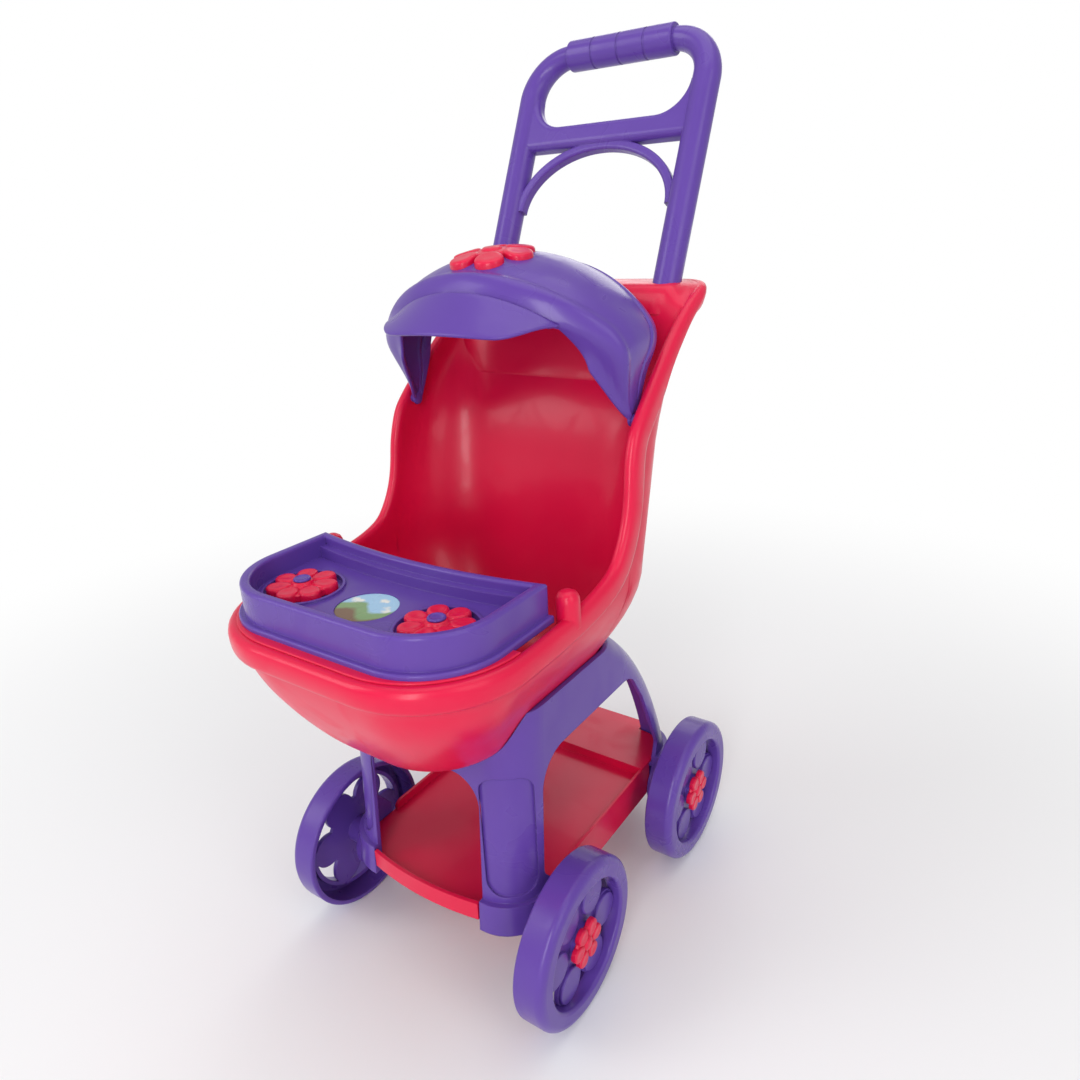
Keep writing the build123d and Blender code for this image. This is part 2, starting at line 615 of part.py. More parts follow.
with BuildPart() as seat:
    loft(seat_form(RIM_PROUD, first=RIM_FIRST))
    with BuildSketch(Plane.YZ):
        with BuildLine():
            under = FilletPolyline(
                *[(y + RIM_DROP[0], z + RIM_DROP[1]) for y, z in RIM_LINE], radius=RIM_LINE_RADII
            )
            Polyline(under @ 1, (FAR, 0), (-FAR, 0), under @ 0)
        make_face()
    extrude(amount=FAR, both=True, mode=Mode.SUBTRACT)
    loft(seat_form(0))
    loft(seat_form(-SEAT_WALL, rise=SEAT_WALL), mode=Mode.SUBTRACT)
    add(shelf_slab.part)
    for side in SIDES.values():
        with BuildSketch(rail_plane(side, -RAIL_DEPTH - SOCKET_FLOOR)):
            Circle(SOCKET_RADIUS)
        extrude(amount=RAIL_DEPTH + SOCKET_FLOOR + SOCKET_RADIUS)
        with BuildSketch(screw_plane(side)):
            Circle(HANDLE_PAD_RADIUS)
        extrude(amount=HANDLE_SCREW_SEAT)
    # Everything above the rim line is open
    with BuildSketch(Plane.YZ):
        with BuildLine():
            rim = FilletPolyline(*RIM_LINE, radius=RIM_LINE_RADII)
            Polyline(rim @ 1, (FAR, 2 * FAR), (-FAR, 2 * FAR), rim @ 0)
        make_face()
    extrude(amount=FAR, both=True, mode=Mode.SUBTRACT)
    # Round lugs behind the tray
    with BuildSketch(Plane.XY.offset(RIM_Z - RIM_PROUD)):
        with Locations(*[(side * LUG[0], LUG[1]) for side in SIDES.values()]):
            Circle(LUG_RADIUS)
    extrude(amount=LUG_TOP - RIM_Z + RIM_PROUD)
    fillet(seat.edges().filter_by(GeomType.CIRCLE).filter_by_position(Axis.Z, LUG_TOP, LUG_TOP), LUG_ROUND)
    # Rail holes, screw holes and the hood's pivot holes
    for side in SIDES.values():
        with BuildSketch(rail_plane(side, -RAIL_DEPTH)):
            Circle(RAIL_RADIUS)
        extrude(amount=2 * RAIL_DEPTH, mode=Mode.SUBTRACT)
        with BuildSketch(screw_plane(side)):
            Circle(SCREW_RADIUS)
        extrude(amount=HANDLE_SCREW_SEAT, mode=Mode.SUBTRACT)
        with BuildSketch(Plane.YZ.offset(side * EAR_X)):
            with Locations(PIVOT):
                Circle(STUD_RADIUS + RUNNING_GAP)
        extrude(amount=side * PIVOT_HOLE, mode=Mode.SUBTRACT)
    with BuildSketch(Plane.XY.offset(SEAT_FLOOR)):
        with Locations(*SEAT_SCREW_PLACES):
            Circle(SCREW_RADIUS)
    extrude(amount=SEAT_SCREW_BITE, mode=Mode.SUBTRACT)
seat.part.label = "seat"
export_step(seat.part, "parts/seat.step")

# Play tray: a plate with a rim all round, wells for the two spinners and the middle disc
with BuildPart() as tray:
    extrude(tray_outline(RIM_Z, 0, 0), amount=TRAY_FLANGE_TOP - RIM_Z)
    fillet(tray.edges().group_by(Axis.Z)[-1].sort_by(Axis.Y)[:-1], TRAY_FLANGE_EDGE)
    extrude(tray_outline(TRAY_FLANGE_TOP, TRAY_STEP_IN, 0), amount=TRAY_TOP - TRAY_FLANGE_TOP)
    recess = tray_outline(TRAY_FLOOR, TRAY_RIM_IN, TRAY_BACK_WALL)
    extrude(recess, amount=TRAY_TOP - TRAY_FLOOR, mode=Mode.SUBTRACT)
    ledge = tray_outline(TRAY_STEP_Z, TRAY_RIM_IN, TRAY_STEP)
    extrude(ledge, amount=TRAY_TOP - TRAY_STEP_Z, mode=Mode.SUBTRACT)
    fillet(tray.edges().group_by(Axis.Z)[-1], TRAY_EDGE)
    hollow = tray_outline(RIM_Z, TRAY_HOLLOW_IN, TRAY_HOLLOW_BACK)
    extrude(hollow, amount=TRAY_FLOOR - TRAY_PLATE - RIM_Z, mode=Mode.SUBTRACT)
    with BuildSketch(Plane.XY.offset(TRAY_FLOOR)):
        with Locations(*SPINNER_PLACES):
            Circle(SPINNER_WELL + SPINNER_RING)
    extrude(amount=SPINNER_RING_TALL)
    with BuildSketch(Plane.XY.offset(TRAY_FLOOR - SPINNER_WELL_DEPTH)):
        with Locations(*SPINNER_PLACES):
            Circle(SPINNER_WELL)
    extrude(amount=SPINNER_WELL_DEPTH + SPINNER_RING_TALL, mode=Mode.SUBTRACT)
    with BuildSketch(Plane.XY.offset(TRAY_FLOOR - DISC_DEPTH)):
        with Locations((0, DISC_Y)):
            Circle(DISC_RADIUS)
    extrude(amount=DISC_DEPTH, mode=Mode.SUBTRACT)
    with BuildSketch(Plane.XY.offset(RIM_Z)):
        with Locations(*SPINNER_PLACES):
            Circle(SPINNER_PIN_RADIUS)
    extrude(amount=TRAY_FLOOR - RIM_Z, mode=Mode.SUBTRACT)
tray.part.label = "tray"
export_step(tray.part, "parts/tray.step")

with BuildPart() as tray_disc:
    with BuildSketch(Plane.XY.offset(TRAY_FLOOR - DISC_DEPTH)):
        with Locations((0, DISC_Y)):
            Circle(DISC_RADIUS)
    extrude(amount=DISC)
tray_disc.part.label = "tray_disc"
export_step(tray_disc.part, "parts/tray_disc.step")

# Tray spinners on headed pins
for name, side in SIDES.items():
    place = Plane(origin=(side * SPINNER[0], SPINNER[1], SPINNER_BOTTOM))
    with BuildPart() as spinner:
        add(petals(
            place, SPINNER_PETALS, SPINNER_PETAL_RING, SPINNER_PETAL_LONG, SPINNER_PETAL_WIDE,
            SPINNER_TOP - SPINNER_BOTTOM, SPINNER_PETAL_EDGE,
        ))
        add(disc(place, SPINNER_CORE, SPINNER_CORE_TALL))
        add(disc(place, SPINNER_PIN_HEAD, SPINNER_TOP - SPINNER_BOTTOM))
        with BuildSketch(place):
            Circle(SPINNER_PIN_RADIUS + RUNNING_GAP)
        extrude(amount=SPINNER_TOP - SPINNER_BOTTOM, mode=Mode.SUBTRACT)
    spinner.part.label = f"spinner_{name}"
    export_step(spinner.part, f"parts/spinner_{name}.step")

    with BuildPart() as spinner_pin:
        with BuildSketch(place.offset(TRAY_FLOOR - TRAY_PLATE - SPINNER_BOTTOM)):
            Circle(SPINNER_PIN_RADIUS)
        extrude(amount=SPINNER_TOP - TRAY_FLOOR + TRAY_PLATE + SIDE_GAP)
        with BuildSketch(place.offset(SPINNER_TOP - SPINNER_BOTTOM + SIDE_GAP)):
            Circle(SPINNER_PIN_HEAD)
        extrude(amount=SPINNER_PIN_HEAD_TALL)
        fillet(spinner_pin.edges().group_by(Axis.Z)[-1], SPINNER_PIN_ROUND)
    spinner_pin.part.label = f"spinner_pin_{name}"
    export_step(spinner_pin.part, f"parts/spinner_pin_{name}.step")

# Hood: arched shell cut to its side outline, with a visor under the crown and inner pivot ears
with BuildPart() as visor_limit:
    loft(hood_form(-HOOD_WALL / 2))
    with BuildSketch(Plane.YZ):
        Polygon(PIVOT, *VISOR_WEDGE, align=None)
    extrude(amount=FAR, both=True)

with BuildPart() as visor:
    extrude(visor_outline(), amount=2 * VISOR_REACH, dir=(0, -1, -1))
    extrude(visor_outline(), amount=VISOR_ROOT, dir=(0, 1, 1))
    add(visor_limit.part, mode=Mode.INTERSECT)
    with BuildSketch(Plane.XY):
        with Locations((0, VISOR_Y)):
            Ellipse(VISOR_HALF + VISOR_SIDE_ROOM, VISOR_REACH)
        with Locations((0, VISOR_Y + FAR / 2)):
            Rectangle(FAR, FAR)
    extrude(amount=2 * FAR, mode=Mode.INTERSECT)

with BuildPart() as hood_border:
    loft(hood_form(HOOD_BORDER_PROUD))
    with BuildSketch(Plane.YZ):
        with Locations(Location((*PIVOT, 0), (0, 0, HOOD_SECTIONS[0][0]))):
            Rectangle(FAR, HOOD_BORDER, align=(Align.MIN, Align.MIN))
    extrude(amount=FAR, both=True, mode=Mode.INTERSECT)

with BuildPart() as canopy:
    loft(hood_form(0))
    add(hood_border.part)
    loft(hood_form(-HOOD_WALL, swing=HOOD_OVERRUN), mode=Mode.SUBTRACT)
    # Clear of the seat rim and of the pivot ears
    with BuildSketch(Plane.YZ):
        Polygon(*HOOD_TRIM, align=None)
        with Locations(PIVOT):
            Circle(PIVOT_CLEAR)
    extrude(amount=FAR, both=True, mode=Mode.SUBTRACT)
    add(visor.part)
    for side in SIDES.values():
        arm = Location((*PIVOT, 0), (0, 0, EAR_ANGLE))
        with BuildSketch(Plane.YZ.offset(side * EAR_X)):
            with Locations(PIVOT):
                Circle(EAR_RADIUS)
            with Locations(arm):
                Rectangle(EAR_ARM, EAR_ARM_WIDE, align=(Align.MIN, Align.CENTER))
        extrude(amount=side * EAR)
        with BuildSketch(Plane.YZ.offset(side * EAR_X)):
            with Locations(arm * Location((PIVOT_CLEAR, 0, 0))):
                Rectangle(EAR_ARM - PIVOT_CLEAR, EAR_ARM_WIDE, align=(Align.MIN, Align.CENTER))
        extrude(amount=side * EAR_BLOCK)
        with BuildSketch(Plane.YZ.offset(side * EAR_X)):
            with Locations(PIVOT):
                Circle(STUD_RADIUS)
        extrude(amount=side * STUD)
canopy.part.label = "canopy"
export_step(canopy.part, "parts/canopy.step")

# Flower ornament that follows the crown of the hood
with BuildPart() as canopy_flower:
    outwards = Vector(0, 1, 0).rotate(Axis.X, HOOD_FLOWER_ANGLE)
    root = Plane(origin=Vector(0, *PIVOT) + outwards * HOOD_FLOWER_BOTTOM, x_dir=(1, 0, 0), z_dir=outwards)
    add(petals(
        root, PETALS, HOOD_FLOWER_RING, HOOD_PETAL_LONG, HOOD_PETAL_WIDE,
        HOOD_FLOWER_TOP - HOOD_FLOWER_BOTTOM, HOOD_PETAL_EDGE,
    ))
    add(disc(root, HOOD_FLOWER_CORE, HOOD_FLOWER_CORE_TOP - HOOD_FLOWER_BOTTOM))
    add(disc(root, HOOD_FLOWER_BUTTON, HOOD_FLOWER_TOP - HOOD_FLOWER_BOTTOM))
    loft(hood_form(0), mode=Mode.SUBTRACT)
canopy_flower.part.label = "canopy_flower"
export_step(canopy_flower.part, "parts/canopy_flower.step")

# Push handle: two rails, bends, grip, cross-bar and an arched rib
grip_plane = Plane(origin=HANDLE_PLANE.from_local_coords((0, TOP_BAR, 0)), z_dir=(1, 0, 0))
with BuildPart() as grip:
    with BuildSketch(grip_plane):
        Circle(GRIP_RADIUS)
    extrude(amount=GRIP_HALF, both=True)
    fillet(grip.edges().filter_by(GeomType.CIRCLE), GRIP_EDGE)
    for ring in GRIP_RINGS:
        with BuildSketch(grip_plane.offset(ring - GRIP_GROOVE / 2)):
            Circle(GRIP_RADIUS)
            Circle(GRIP_RADIUS - GRIP_GROOVE_DEPTH, mode=Mode.SUBTRACT)
        extrude(amount=GRIP_GROOVE, mode=Mode.SUBTRACT)

with BuildPart() as cross_bar:
    with BuildSketch(HANDLE_PLANE):
        with Locations((0, CROSS_BAR)):
            Rectangle(2 * RAIL_X, CROSS_BAR_TALL)
        with Locations((0, CROSS_BAR + (CROSS_BAR_TALL + LOOP_CORNER) / 2)):
            Rectangle(2 * RAIL_X, LOOP_CORNER)
        with Locations((0, CROSS_BAR + CROSS_BAR_TALL / 2 + TOP_BAR / 2)):
            RectangleRounded(2 * (RAIL_X - RAIL_RADIUS), TOP_BAR, LOOP_CORNER, mode=Mode.SUBTRACT)
    extrude(amount=CROSS_BAR_DEEP / 2, both=True)
    fillet(cross_bar.faces().filter_by(HANDLE_PLANE).edges(), CROSS_BAR_ROUND)

with BuildPart() as rib:
    with BuildSketch(HANDLE_PLANE):
        with Locations((0, RIB_FOOT)):
            Ellipse(RIB_HALF, RIB_HEIGHT)
            Ellipse(RIB_HALF - RIB_WIDTH, RIB_HEIGHT - RIB_WIDTH, mode=Mode.SUBTRACT)
        with Locations((0, RIB_FOOT - FAR / 2)):
            Rectangle(FAR, FAR, mode=Mode.SUBTRACT)
    extrude(amount=RIB_DEEP / 2, both=True)
    fillet(rib.edges().filter_by(GeomType.ELLIPSE), RIB_ROUND)

with BuildPart() as handle:
    for side in SIDES.values():
        with BuildSketch(rail_plane(side, -RAIL_DEPTH)):
            Circle(RAIL_RADIUS)
        extrude(amount=RAIL_DEPTH + TOP_BAR - TOP_CORNER)
        with BuildLine(HANDLE_PLANE):
            start = (side * RAIL_X, TOP_BAR - TOP_CORNER)
            end = (side * (RAIL_X - TOP_CORNER), TOP_BAR)
            bend = RadiusArc(start, end, -side * TOP_CORNER)
        with BuildSketch(rail_plane(side, TOP_BAR - TOP_CORNER)):
            Circle(RAIL_RADIUS)
        with BuildSketch(Plane(origin=bend @ 1, z_dir=bend % 1)):
            Circle(TOP_BAR_RADIUS)
        sweep(path=bend, multisection=True)
    with BuildSketch(grip_plane):
        Circle(TOP_BAR_RADIUS)
    extrude(amount=RAIL_X - TOP_CORNER, both=True)
    add(grip.part)
    add(cross_bar.part)
    add(rib.part)
    for side in SIDES.values():
        with BuildSketch(screw_plane(side).offset(HANDLE_SCREW_TIP)):
            Circle(SCREW_RADIUS)
        extrude(amount=HANDLE_SCREW_SEAT, mode=Mode.SUBTRACT)
handle.part.label = "handle"
export_step(handle.part, "parts/handle.step")

# Wheels with petal webs, each on a flower-headed pin
for end, place in AXLE_Y.items():
    for name, side in SIDES.items():
        axle = Axis((0, place, AXLE_Z), (1, 0, 0))
        with BuildPart() as wheel:
            with BuildSketch(axle_plane(side, place)) as profile:
                Polygon(*WHEEL_PROFILE, align=None)
                for corner, edge in WHEEL_ROUNDS:
                    fillet(profile.vertices().sort_by_distance(corner)[0], edge)
            revolve(axis=axle)
            # Gaps between the petals at the rim, then the petals themselves
            with BuildSketch(face_plane(side, WHEEL_WEB_X, place)):
                Circle(WHEEL_LIP_RADIUS)
                Circle(WHEEL_CORE_RADIUS, mode=Mode.SUBTRACT)
                with PolarLocations(PETAL_RING, PETALS):
                    Ellipse(PETAL_LONG + PETAL_MARGIN, PETAL_WIDE + PETAL_MARGIN, mode=Mode.SUBTRACT)
            extrude(amount=WHEEL_WEB, mode=Mode.SUBTRACT)
            web_face = face_plane(side, WHEEL_WEB_X + WHEEL_WEB, place)
            add(petals(web_face, PETALS, PETAL_RING, PETAL_LONG, PETAL_WIDE, PETAL_PROUD, PETAL_EDGE))
        wheel.part.label = f"wheel_{end}_{name}"
        export_step(wheel.part, f"parts/wheel_{end}_{name}.step")

        with BuildPart() as wheel_pin:
            with BuildSketch(face_plane(side, PIN_END_X, place)):
                Circle(PIN_RADIUS)
            extrude(amount=PIN_HEAD_X - PIN_END_X)
            head = face_plane(side, PIN_HEAD_X, place)
            add(petals(
                head, PETALS, PIN_PETAL_RING, PIN_PETAL_LONG, PIN_PETAL_WIDE, PIN_HEAD, PIN_PETAL_EDGE
            ))
            add(disc(head, PIN_CORE, PIN_CORE_TALL))
            add(disc(head, PIN_BUTTON, PIN_HEAD))
        wheel_pin.part.label = f"wheel_pin_{end}_{name}"
        export_step(wheel_pin.part, f"parts/wheel_pin_{end}_{name}.step")

# Screws, one node for each kind
with BuildPart() as seat_screws:
    for x, y in SEAT_SCREW_PLACES:
        add(screw(Plane((x, y, DECK_BOTTOM)), SEAT_FLOOR - DECK_BOTTOM + SEAT_SCREW_BITE))
seat_screws.part.label = "seat_screws"
export_step(seat_screws.part, "parts/seat_screws.step")

with BuildPart() as basket_screws:
    for end, top in BASKET_UNDERSIDE.items():
        for side in SIDES.values():
            under_head = Plane((side * BASKET_SCREW_X, BASKET_SCREW_Y[end], top - TAB))
            add(screw(under_head, TAB + BASKET_SCREW_BITE))
basket_screws.part.label = "basket_screws"
export_step(basket_screws.part, "parts/basket_screws.step")

with BuildPart() as handle_screws:
    for side in SIDES.values():
        inwards = screw_plane(side).offset(HANDLE_SCREW_SEAT)
        flipped = Plane(origin=inwards.origin, x_dir=inwards.x_dir, z_dir=-inwards.z_dir)
        add(screw(flipped, HANDLE_SCREW_SEAT - HANDLE_SCREW_TIP))
handle_screws.part.label = "handle_screws"
export_step(handle_screws.part, "parts/handle_screws.step")
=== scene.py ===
"""Looks of a doll stroller: smooth moulded shells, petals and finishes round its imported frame."""

import math

import bmesh
import bpy
from mathutils import Matrix, Vector


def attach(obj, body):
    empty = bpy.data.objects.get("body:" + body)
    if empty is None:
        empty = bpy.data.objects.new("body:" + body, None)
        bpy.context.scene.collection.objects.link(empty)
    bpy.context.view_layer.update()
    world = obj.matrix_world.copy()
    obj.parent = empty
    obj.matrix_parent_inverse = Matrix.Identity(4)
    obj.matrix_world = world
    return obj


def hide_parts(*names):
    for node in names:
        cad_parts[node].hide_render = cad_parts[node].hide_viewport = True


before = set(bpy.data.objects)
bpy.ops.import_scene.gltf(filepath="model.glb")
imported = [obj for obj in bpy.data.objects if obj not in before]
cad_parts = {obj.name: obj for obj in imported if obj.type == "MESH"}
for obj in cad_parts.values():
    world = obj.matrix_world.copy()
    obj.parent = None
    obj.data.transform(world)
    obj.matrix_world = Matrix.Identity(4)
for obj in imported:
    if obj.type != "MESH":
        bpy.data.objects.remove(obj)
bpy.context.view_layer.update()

# Chassis: one saddle-shaped shell with four channelled legs and the axle bosses, injection moulded in purple
# plastic. The seat sits in the hollow of its top and is screwed down from below.

MM = 0.001
PURPLE = (0.118, 0.053, 0.345, 1)
PURPLE_DEEP = (0.100, 0.043, 0.305, 1)
PURPLE_GLOSS = 0.25
PURPLE_EDGE = 1.2
SHINE = 0.30
COAT = 0.12
COAT_GLOSS = 0.10
CLOUD_SCALE = 11.0
CLOUD_DULLS = 0.05
FLOW_SCALE = 26.0
FLOW_TWIST = 1.4
SMUDGE_STOPS = [(0.46, (0, 0, 0, 1)), (0.72, (1, 1, 1, 1))]
SMUDGE_DULLS = 0.10
SMUDGE_STRIPS = 0.08
SKIN_SCALE = 620.0
SKIN_STRENGTH = 0.05
SKIN_DEPTH = 0.3
BEVEL_SAMPLES = 6


class Signal:
    """A value that runs through a material. Sums and products of signals add Math nodes to its tree."""

    def __init__(self, socket):
        self.socket = socket
        self.tree = socket.id_data

    def node(self, kind, settings=None, sockets=None, output=0):
        """Any node of the tree, with its settings first, then the values or links of its sockets."""
        made = self.tree.nodes.new(kind)
        for name, value in (settings or {}).items():
            if name == "stops":
                for stop, (place, colour) in zip(made.color_ramp.elements, value):
                    stop.position = place
                    stop.color = colour
            else:
                setattr(made, name, value)
        for name, value in (sockets or {}).items():
            if isinstance(value, Signal):
                self.tree.links.new(value.socket, made.inputs[name])
            else:
                made.inputs[name].default_value = value
        return Signal(made.outputs[output])

    def math(self, operation, left, right):
        return self.node("ShaderNodeMath", {"operation": operation}, {0: left, 1: right})

    def __add__(self, other):
        return self.math("ADD", self, other)

    __radd__ = __add__

    def __sub__(self, other):
        return self.math("SUBTRACT", self, other)

    def __rsub__(self, other):
        return self.math("SUBTRACT", other, self)

    def __mul__(self, other):
        return self.math("MULTIPLY", self, other)

    __rmul__ = __mul__

    def mix(self, low, high):
        """A colour between two colours, by this signal."""
        return self.node("ShaderNodeMix", {"data_type": "RGBA"}, {0: self, 6: low, 7: high}, 2)

    def feed(self, surface, name):
        self.tree.links.new(self.socket, surface.inputs[name])


def moulded_plastic(name, colour, deep, gloss, round_edge):
    """Glossy moulded plastic: a faint cloud in the pigment, flow marks and handling smudges in the gloss,
    a skin of very fine ripple, and edges that the mould leaves a little round."""
    material = bpy.data.materials.new(name)
    material.use_nodes = True
    tree = material.node_tree
    surface = tree.nodes["Principled BSDF"]
    surface.inputs["Specular IOR Level"].default_value = SHINE
    surface.inputs["Coat Roughness"].default_value = COAT_GLOSS
    place = Signal(tree.nodes.new("ShaderNodeTexCoord").outputs["Object"])
    cloud = place.node(
        "ShaderNodeTexNoise", {}, {"Vector": place, "Scale": CLOUD_SCALE, "Detail": 3.0, "Roughness": 0.55}
    )
    flow = place.node(
        "ShaderNodeTexNoise", {},
        {"Vector": place, "Scale": FLOW_SCALE, "Detail": 2.0, "Distortion": FLOW_TWIST},
    )
    smudge = place.node("ShaderNodeValToRGB", {"stops": SMUDGE_STOPS}, {"Fac": flow})
    skin = place.node("ShaderNodeTexNoise", {}, {"Vector": place, "Scale": SKIN_SCALE, "Detail": 2.0})
    cloud.mix(colour, deep).feed(surface, "Base Color")
    (gloss + SMUDGE_DULLS * smudge + CLOUD_DULLS * cloud).feed(surface, "Roughness")
    (COAT - SMUDGE_STRIPS * smudge).feed(surface, "Coat Weight")
    soft_edge = place.node("ShaderNodeBevel", {"samples": BEVEL_SAMPLES}, {"Radius": round_edge * MM})
    bump = place.node(
        "ShaderNodeBump", {},
        {"Strength": SKIN_STRENGTH, "Distance": SKIN_DEPTH * MM, "Height": skin, "Normal": soft_edge},
    )
    bump.feed(surface, "Normal")
    return material


def wear(node, material):
    """Gives a carried-over node its finish."""
    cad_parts[node].data.materials.clear()
    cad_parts[node].data.materials.append(material)


purple = moulded_plastic("purple_moulded", PURPLE, PURPLE_DEEP, PURPLE_GLOSS, PURPLE_EDGE)
wear("chassis", purple)

# Wheels: hollow purple discs with a petal web, each turning on a crimson stub axle that is pressed into the
# chassis boss and ends in a flower-shaped cap.

CRIMSON = (0.735, 0.006, 0.058, 1)
CRIMSON_DEEP = (0.660, 0.004, 0.048, 1)
CRIMSON_GLOSS = 0.27
CRIMSON_EDGE = 1.0
CRISP = math.radians(48)
AXLE_HEIGHT = 60.0
AXLE_PLACES = {"front": -85.0, "rear": 102.6}
CAP_PLACE = 113.4
CAP_PETALS = 6
CAP_PETAL = (11.2, 6.2, 5.4, 4.2, 0.0)
CAP_CORE = (
    (13.4, 0.0), (13.4, 2.0), (12.8, 2.6), (7.0, 2.8), (5.4, 2.8), (4.9, 3.2), (4.5, 4.2), (3.4, 4.7),
    (0.4, 4.8),
)
CAP_SHAFT = ((5.0, -47.4), (5.0, 0.5))
PETAL_DOME = (
    (1.0, 0.0), (1.0, 0.66), (0.988, 0.78), (0.955, 0.88), (0.90, 0.95), (0.80, 0.99), (0.66, 1.0),
    (0.45, 0.97), (0.22, 0.94), (0.04, 0.93),
)
PETAL_SWELL = 0.20
PETAL_SIDES = 36


def grid_mesh(name, rings, material, closed=True, capped=True):
    """A mesh from rings of points, each joined to the next, with flat caps, outward normals, smooth faces and
    crisp corners."""
    shell = bmesh.new()
    rows = [[shell.verts.new(Vector(p) * MM) for p in ring] for ring in rings]
    for low, high in zip(rows, rows[1:]):
        for i in range(len(low) if closed else len(low) - 1):
            j = (i + 1) % len(low)
            shell.faces.new((low[i], low[j], high[j], high[i]))
    if capped:
        shell.faces.new(rows[0])
        shell.faces.new(rows[-1])
    bmesh.ops.recalc_face_normals(shell, faces=shell.faces)
    mesh = bpy.data.meshes.new(name)
    shell.to_mesh(mesh)
    shell.free()
    mesh.materials.append(material)
    mesh.shade_smooth()
    mesh.set_sharp_from_angle(angle=CRISP)
    return mesh


def place_piece(name, meshes, body, slot, *nodes):
    """Joins meshes into one piece that rides on a body and stands for its nodes."""
    whole = bmesh.new()
    for mesh in meshes:
        whole.from_mesh(mesh)
    piece = bpy.data.objects.new(name, meshes[0])
    whole.to_mesh(piece.data)
    whole.free()
    bpy.context.scene.collection.objects.link(piece)
    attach(piece, body)
    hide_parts(*nodes)
    return piece


def turned(name, profile, origin, axis, material, sides=48):
    """A turned solid: its profile of radius and distance along an axis, spun round that axis."""
    facing = Vector(axis).to_track_quat("Z", "Y").to_matrix()
    rings = []
    for radius, reach in profile:
        ring = []
        for k in range(sides):
            angle = 2 * math.pi * k / sides
            spoke = Vector((radius * math.cos(angle), radius * math.sin(angle), reach))
            ring.append(Vector(origin) + facing @ spoke)
        rings.append(ring)
    return grid_mesh(name, rings, material)


def petal_mesh(ring, long, wide, tall, droop, material):
    """One domed petal that lies along x with its middle on the ring, a little fuller at its outer end. It
    droops with the square of the distance from the flower's middle."""
    rings = []
    for share, height in PETAL_DOME:
        loop = []
        for k in range(PETAL_SIDES):
            turn = 2 * math.pi * k / PETAL_SIDES
            swell = 1 + PETAL_SWELL * math.cos(turn)
            x = ring + long * share * math.cos(turn)
            y = wide * share * swell * math.sin(turn)
            loop.append((x, y, tall * height - droop * (x * x + y * y)))
        rings.append(loop)
    return grid_mesh("petal", rings, material)


petal_tree = bpy.data.node_groups.new("petal_ring", "GeometryNodeTree")
petal_tree.interface.new_socket("Petal", in_out="INPUT", socket_type="NodeSocketGeometry")
count_socket = petal_tree.interface.new_socket("Count", in_out="INPUT", socket_type="NodeSocketInt")
plastic_socket = petal_tree.interface.new_socket("Plastic", in_out="INPUT", socket_type="NodeSocketMaterial")
petal_tree.interface.new_socket("Flower", in_out="OUTPUT", socket_type="NodeSocketGeometry")
asked = petal_tree.nodes.new("NodeGroupInput")
given = petal_tree.nodes.new("NodeGroupOutput")
stems = petal_tree.nodes.new("GeometryNodePoints")
number = petal_tree.nodes.new("GeometryNodeInputIndex")
part_turn = petal_tree.nodes.new("ShaderNodeMath")
part_turn.operation = "DIVIDE"
radians = petal_tree.nodes.new("ShaderNodeMath")
radians.operation = "MULTIPLY"
radians.inputs[1].default_value = 2 * math.pi
spin = petal_tree.nodes.new("ShaderNodeCombineXYZ")
copies = petal_tree.nodes.new("GeometryNodeInstanceOnPoints")
real = petal_tree.nodes.new("GeometryNodeRealizeInstances")
finish = petal_tree.nodes.new("GeometryNodeSetMaterial")
for source, target in (
    (asked.outputs["Count"], stems.inputs["Count"]),
    (number.outputs["Index"], part_turn.inputs[0]),
    (asked.outputs["Count"], part_turn.inputs[1]),
    (part_turn.outputs[0], radians.inputs[0]),
    (radians.outputs[0], spin.inputs["Z"]),
    (stems.outputs[0], copies.inputs["Points"]),
    (asked.outputs["Petal"], copies.inputs["Instance"]),
    (spin.outputs[0], copies.inputs["Rotation"]),
    (copies.outputs[0], real.inputs[0]),
    (real.outputs[0], finish.inputs["Geometry"]),
    (asked.outputs["Plastic"], finish.inputs["Material"]),
    (finish.outputs[0], given.inputs["Flower"]),
):
    petal_tree.links.new(source, target)


def flower_mesh(petal, count, origin, axis, material):
    """A ring of copies of one petal, on a plane that faces along an axis."""
    seed = bpy.data.objects.new("petal", petal_mesh(*petal, material))
    bpy.context.scene.collection.objects.link(seed)
    repeat = seed.modifiers.new("repeat", "NODES")
    repeat.node_group = petal_tree
    repeat[count_socket.identifier] = count
    repeat[plastic_socket.identifier] = material
    ready = seed.evaluated_get(bpy.context.evaluated_depsgraph_get())
    flower = bpy.data.meshes.new_from_object(ready)
    seed.modifiers.remove(repeat)
    bpy.data.objects.remove(seed)
    facing = Vector(axis).to_track_quat("Z", "Y").to_matrix().to_4x4()
    flower.transform(Matrix.Translation(Vector(origin) * MM) @ facing)
    return flower


crimson = moulded_plastic("crimson_moulded", CRIMSON, CRIMSON_DEEP, CRIMSON_GLOSS, CRIMSON_EDGE)
for end, place in AXLE_PLACES.items():
    for side, sign in (("left", -1), ("right", 1)):
        wear(f"wheel_{end}_{side}", purple)
        centre = (sign * CAP_PLACE, place, AXLE_HEIGHT)
        outwards = (sign, 0, 0)
        cap = flower_mesh(CAP_PETAL, CAP_PETALS, centre, outwards, crimson)
        core = turned("core", CAP_CORE, centre, outwards, crimson)
        shaft = turned("shaft", CAP_SHAFT, centre, outwards, crimson)
        parts = [cap, core, shaft]
        place_piece(f"cap_{end}_{side}", parts, "frame", "crimson_plastic", f"wheel_pin_{end}_{side}")

# Basket: a shallow crimson tray between the legs with side skirts, a bowed front lip and a raised rear shelf,
# screwed to tabs inside the legs.

wear("basket", crimson)

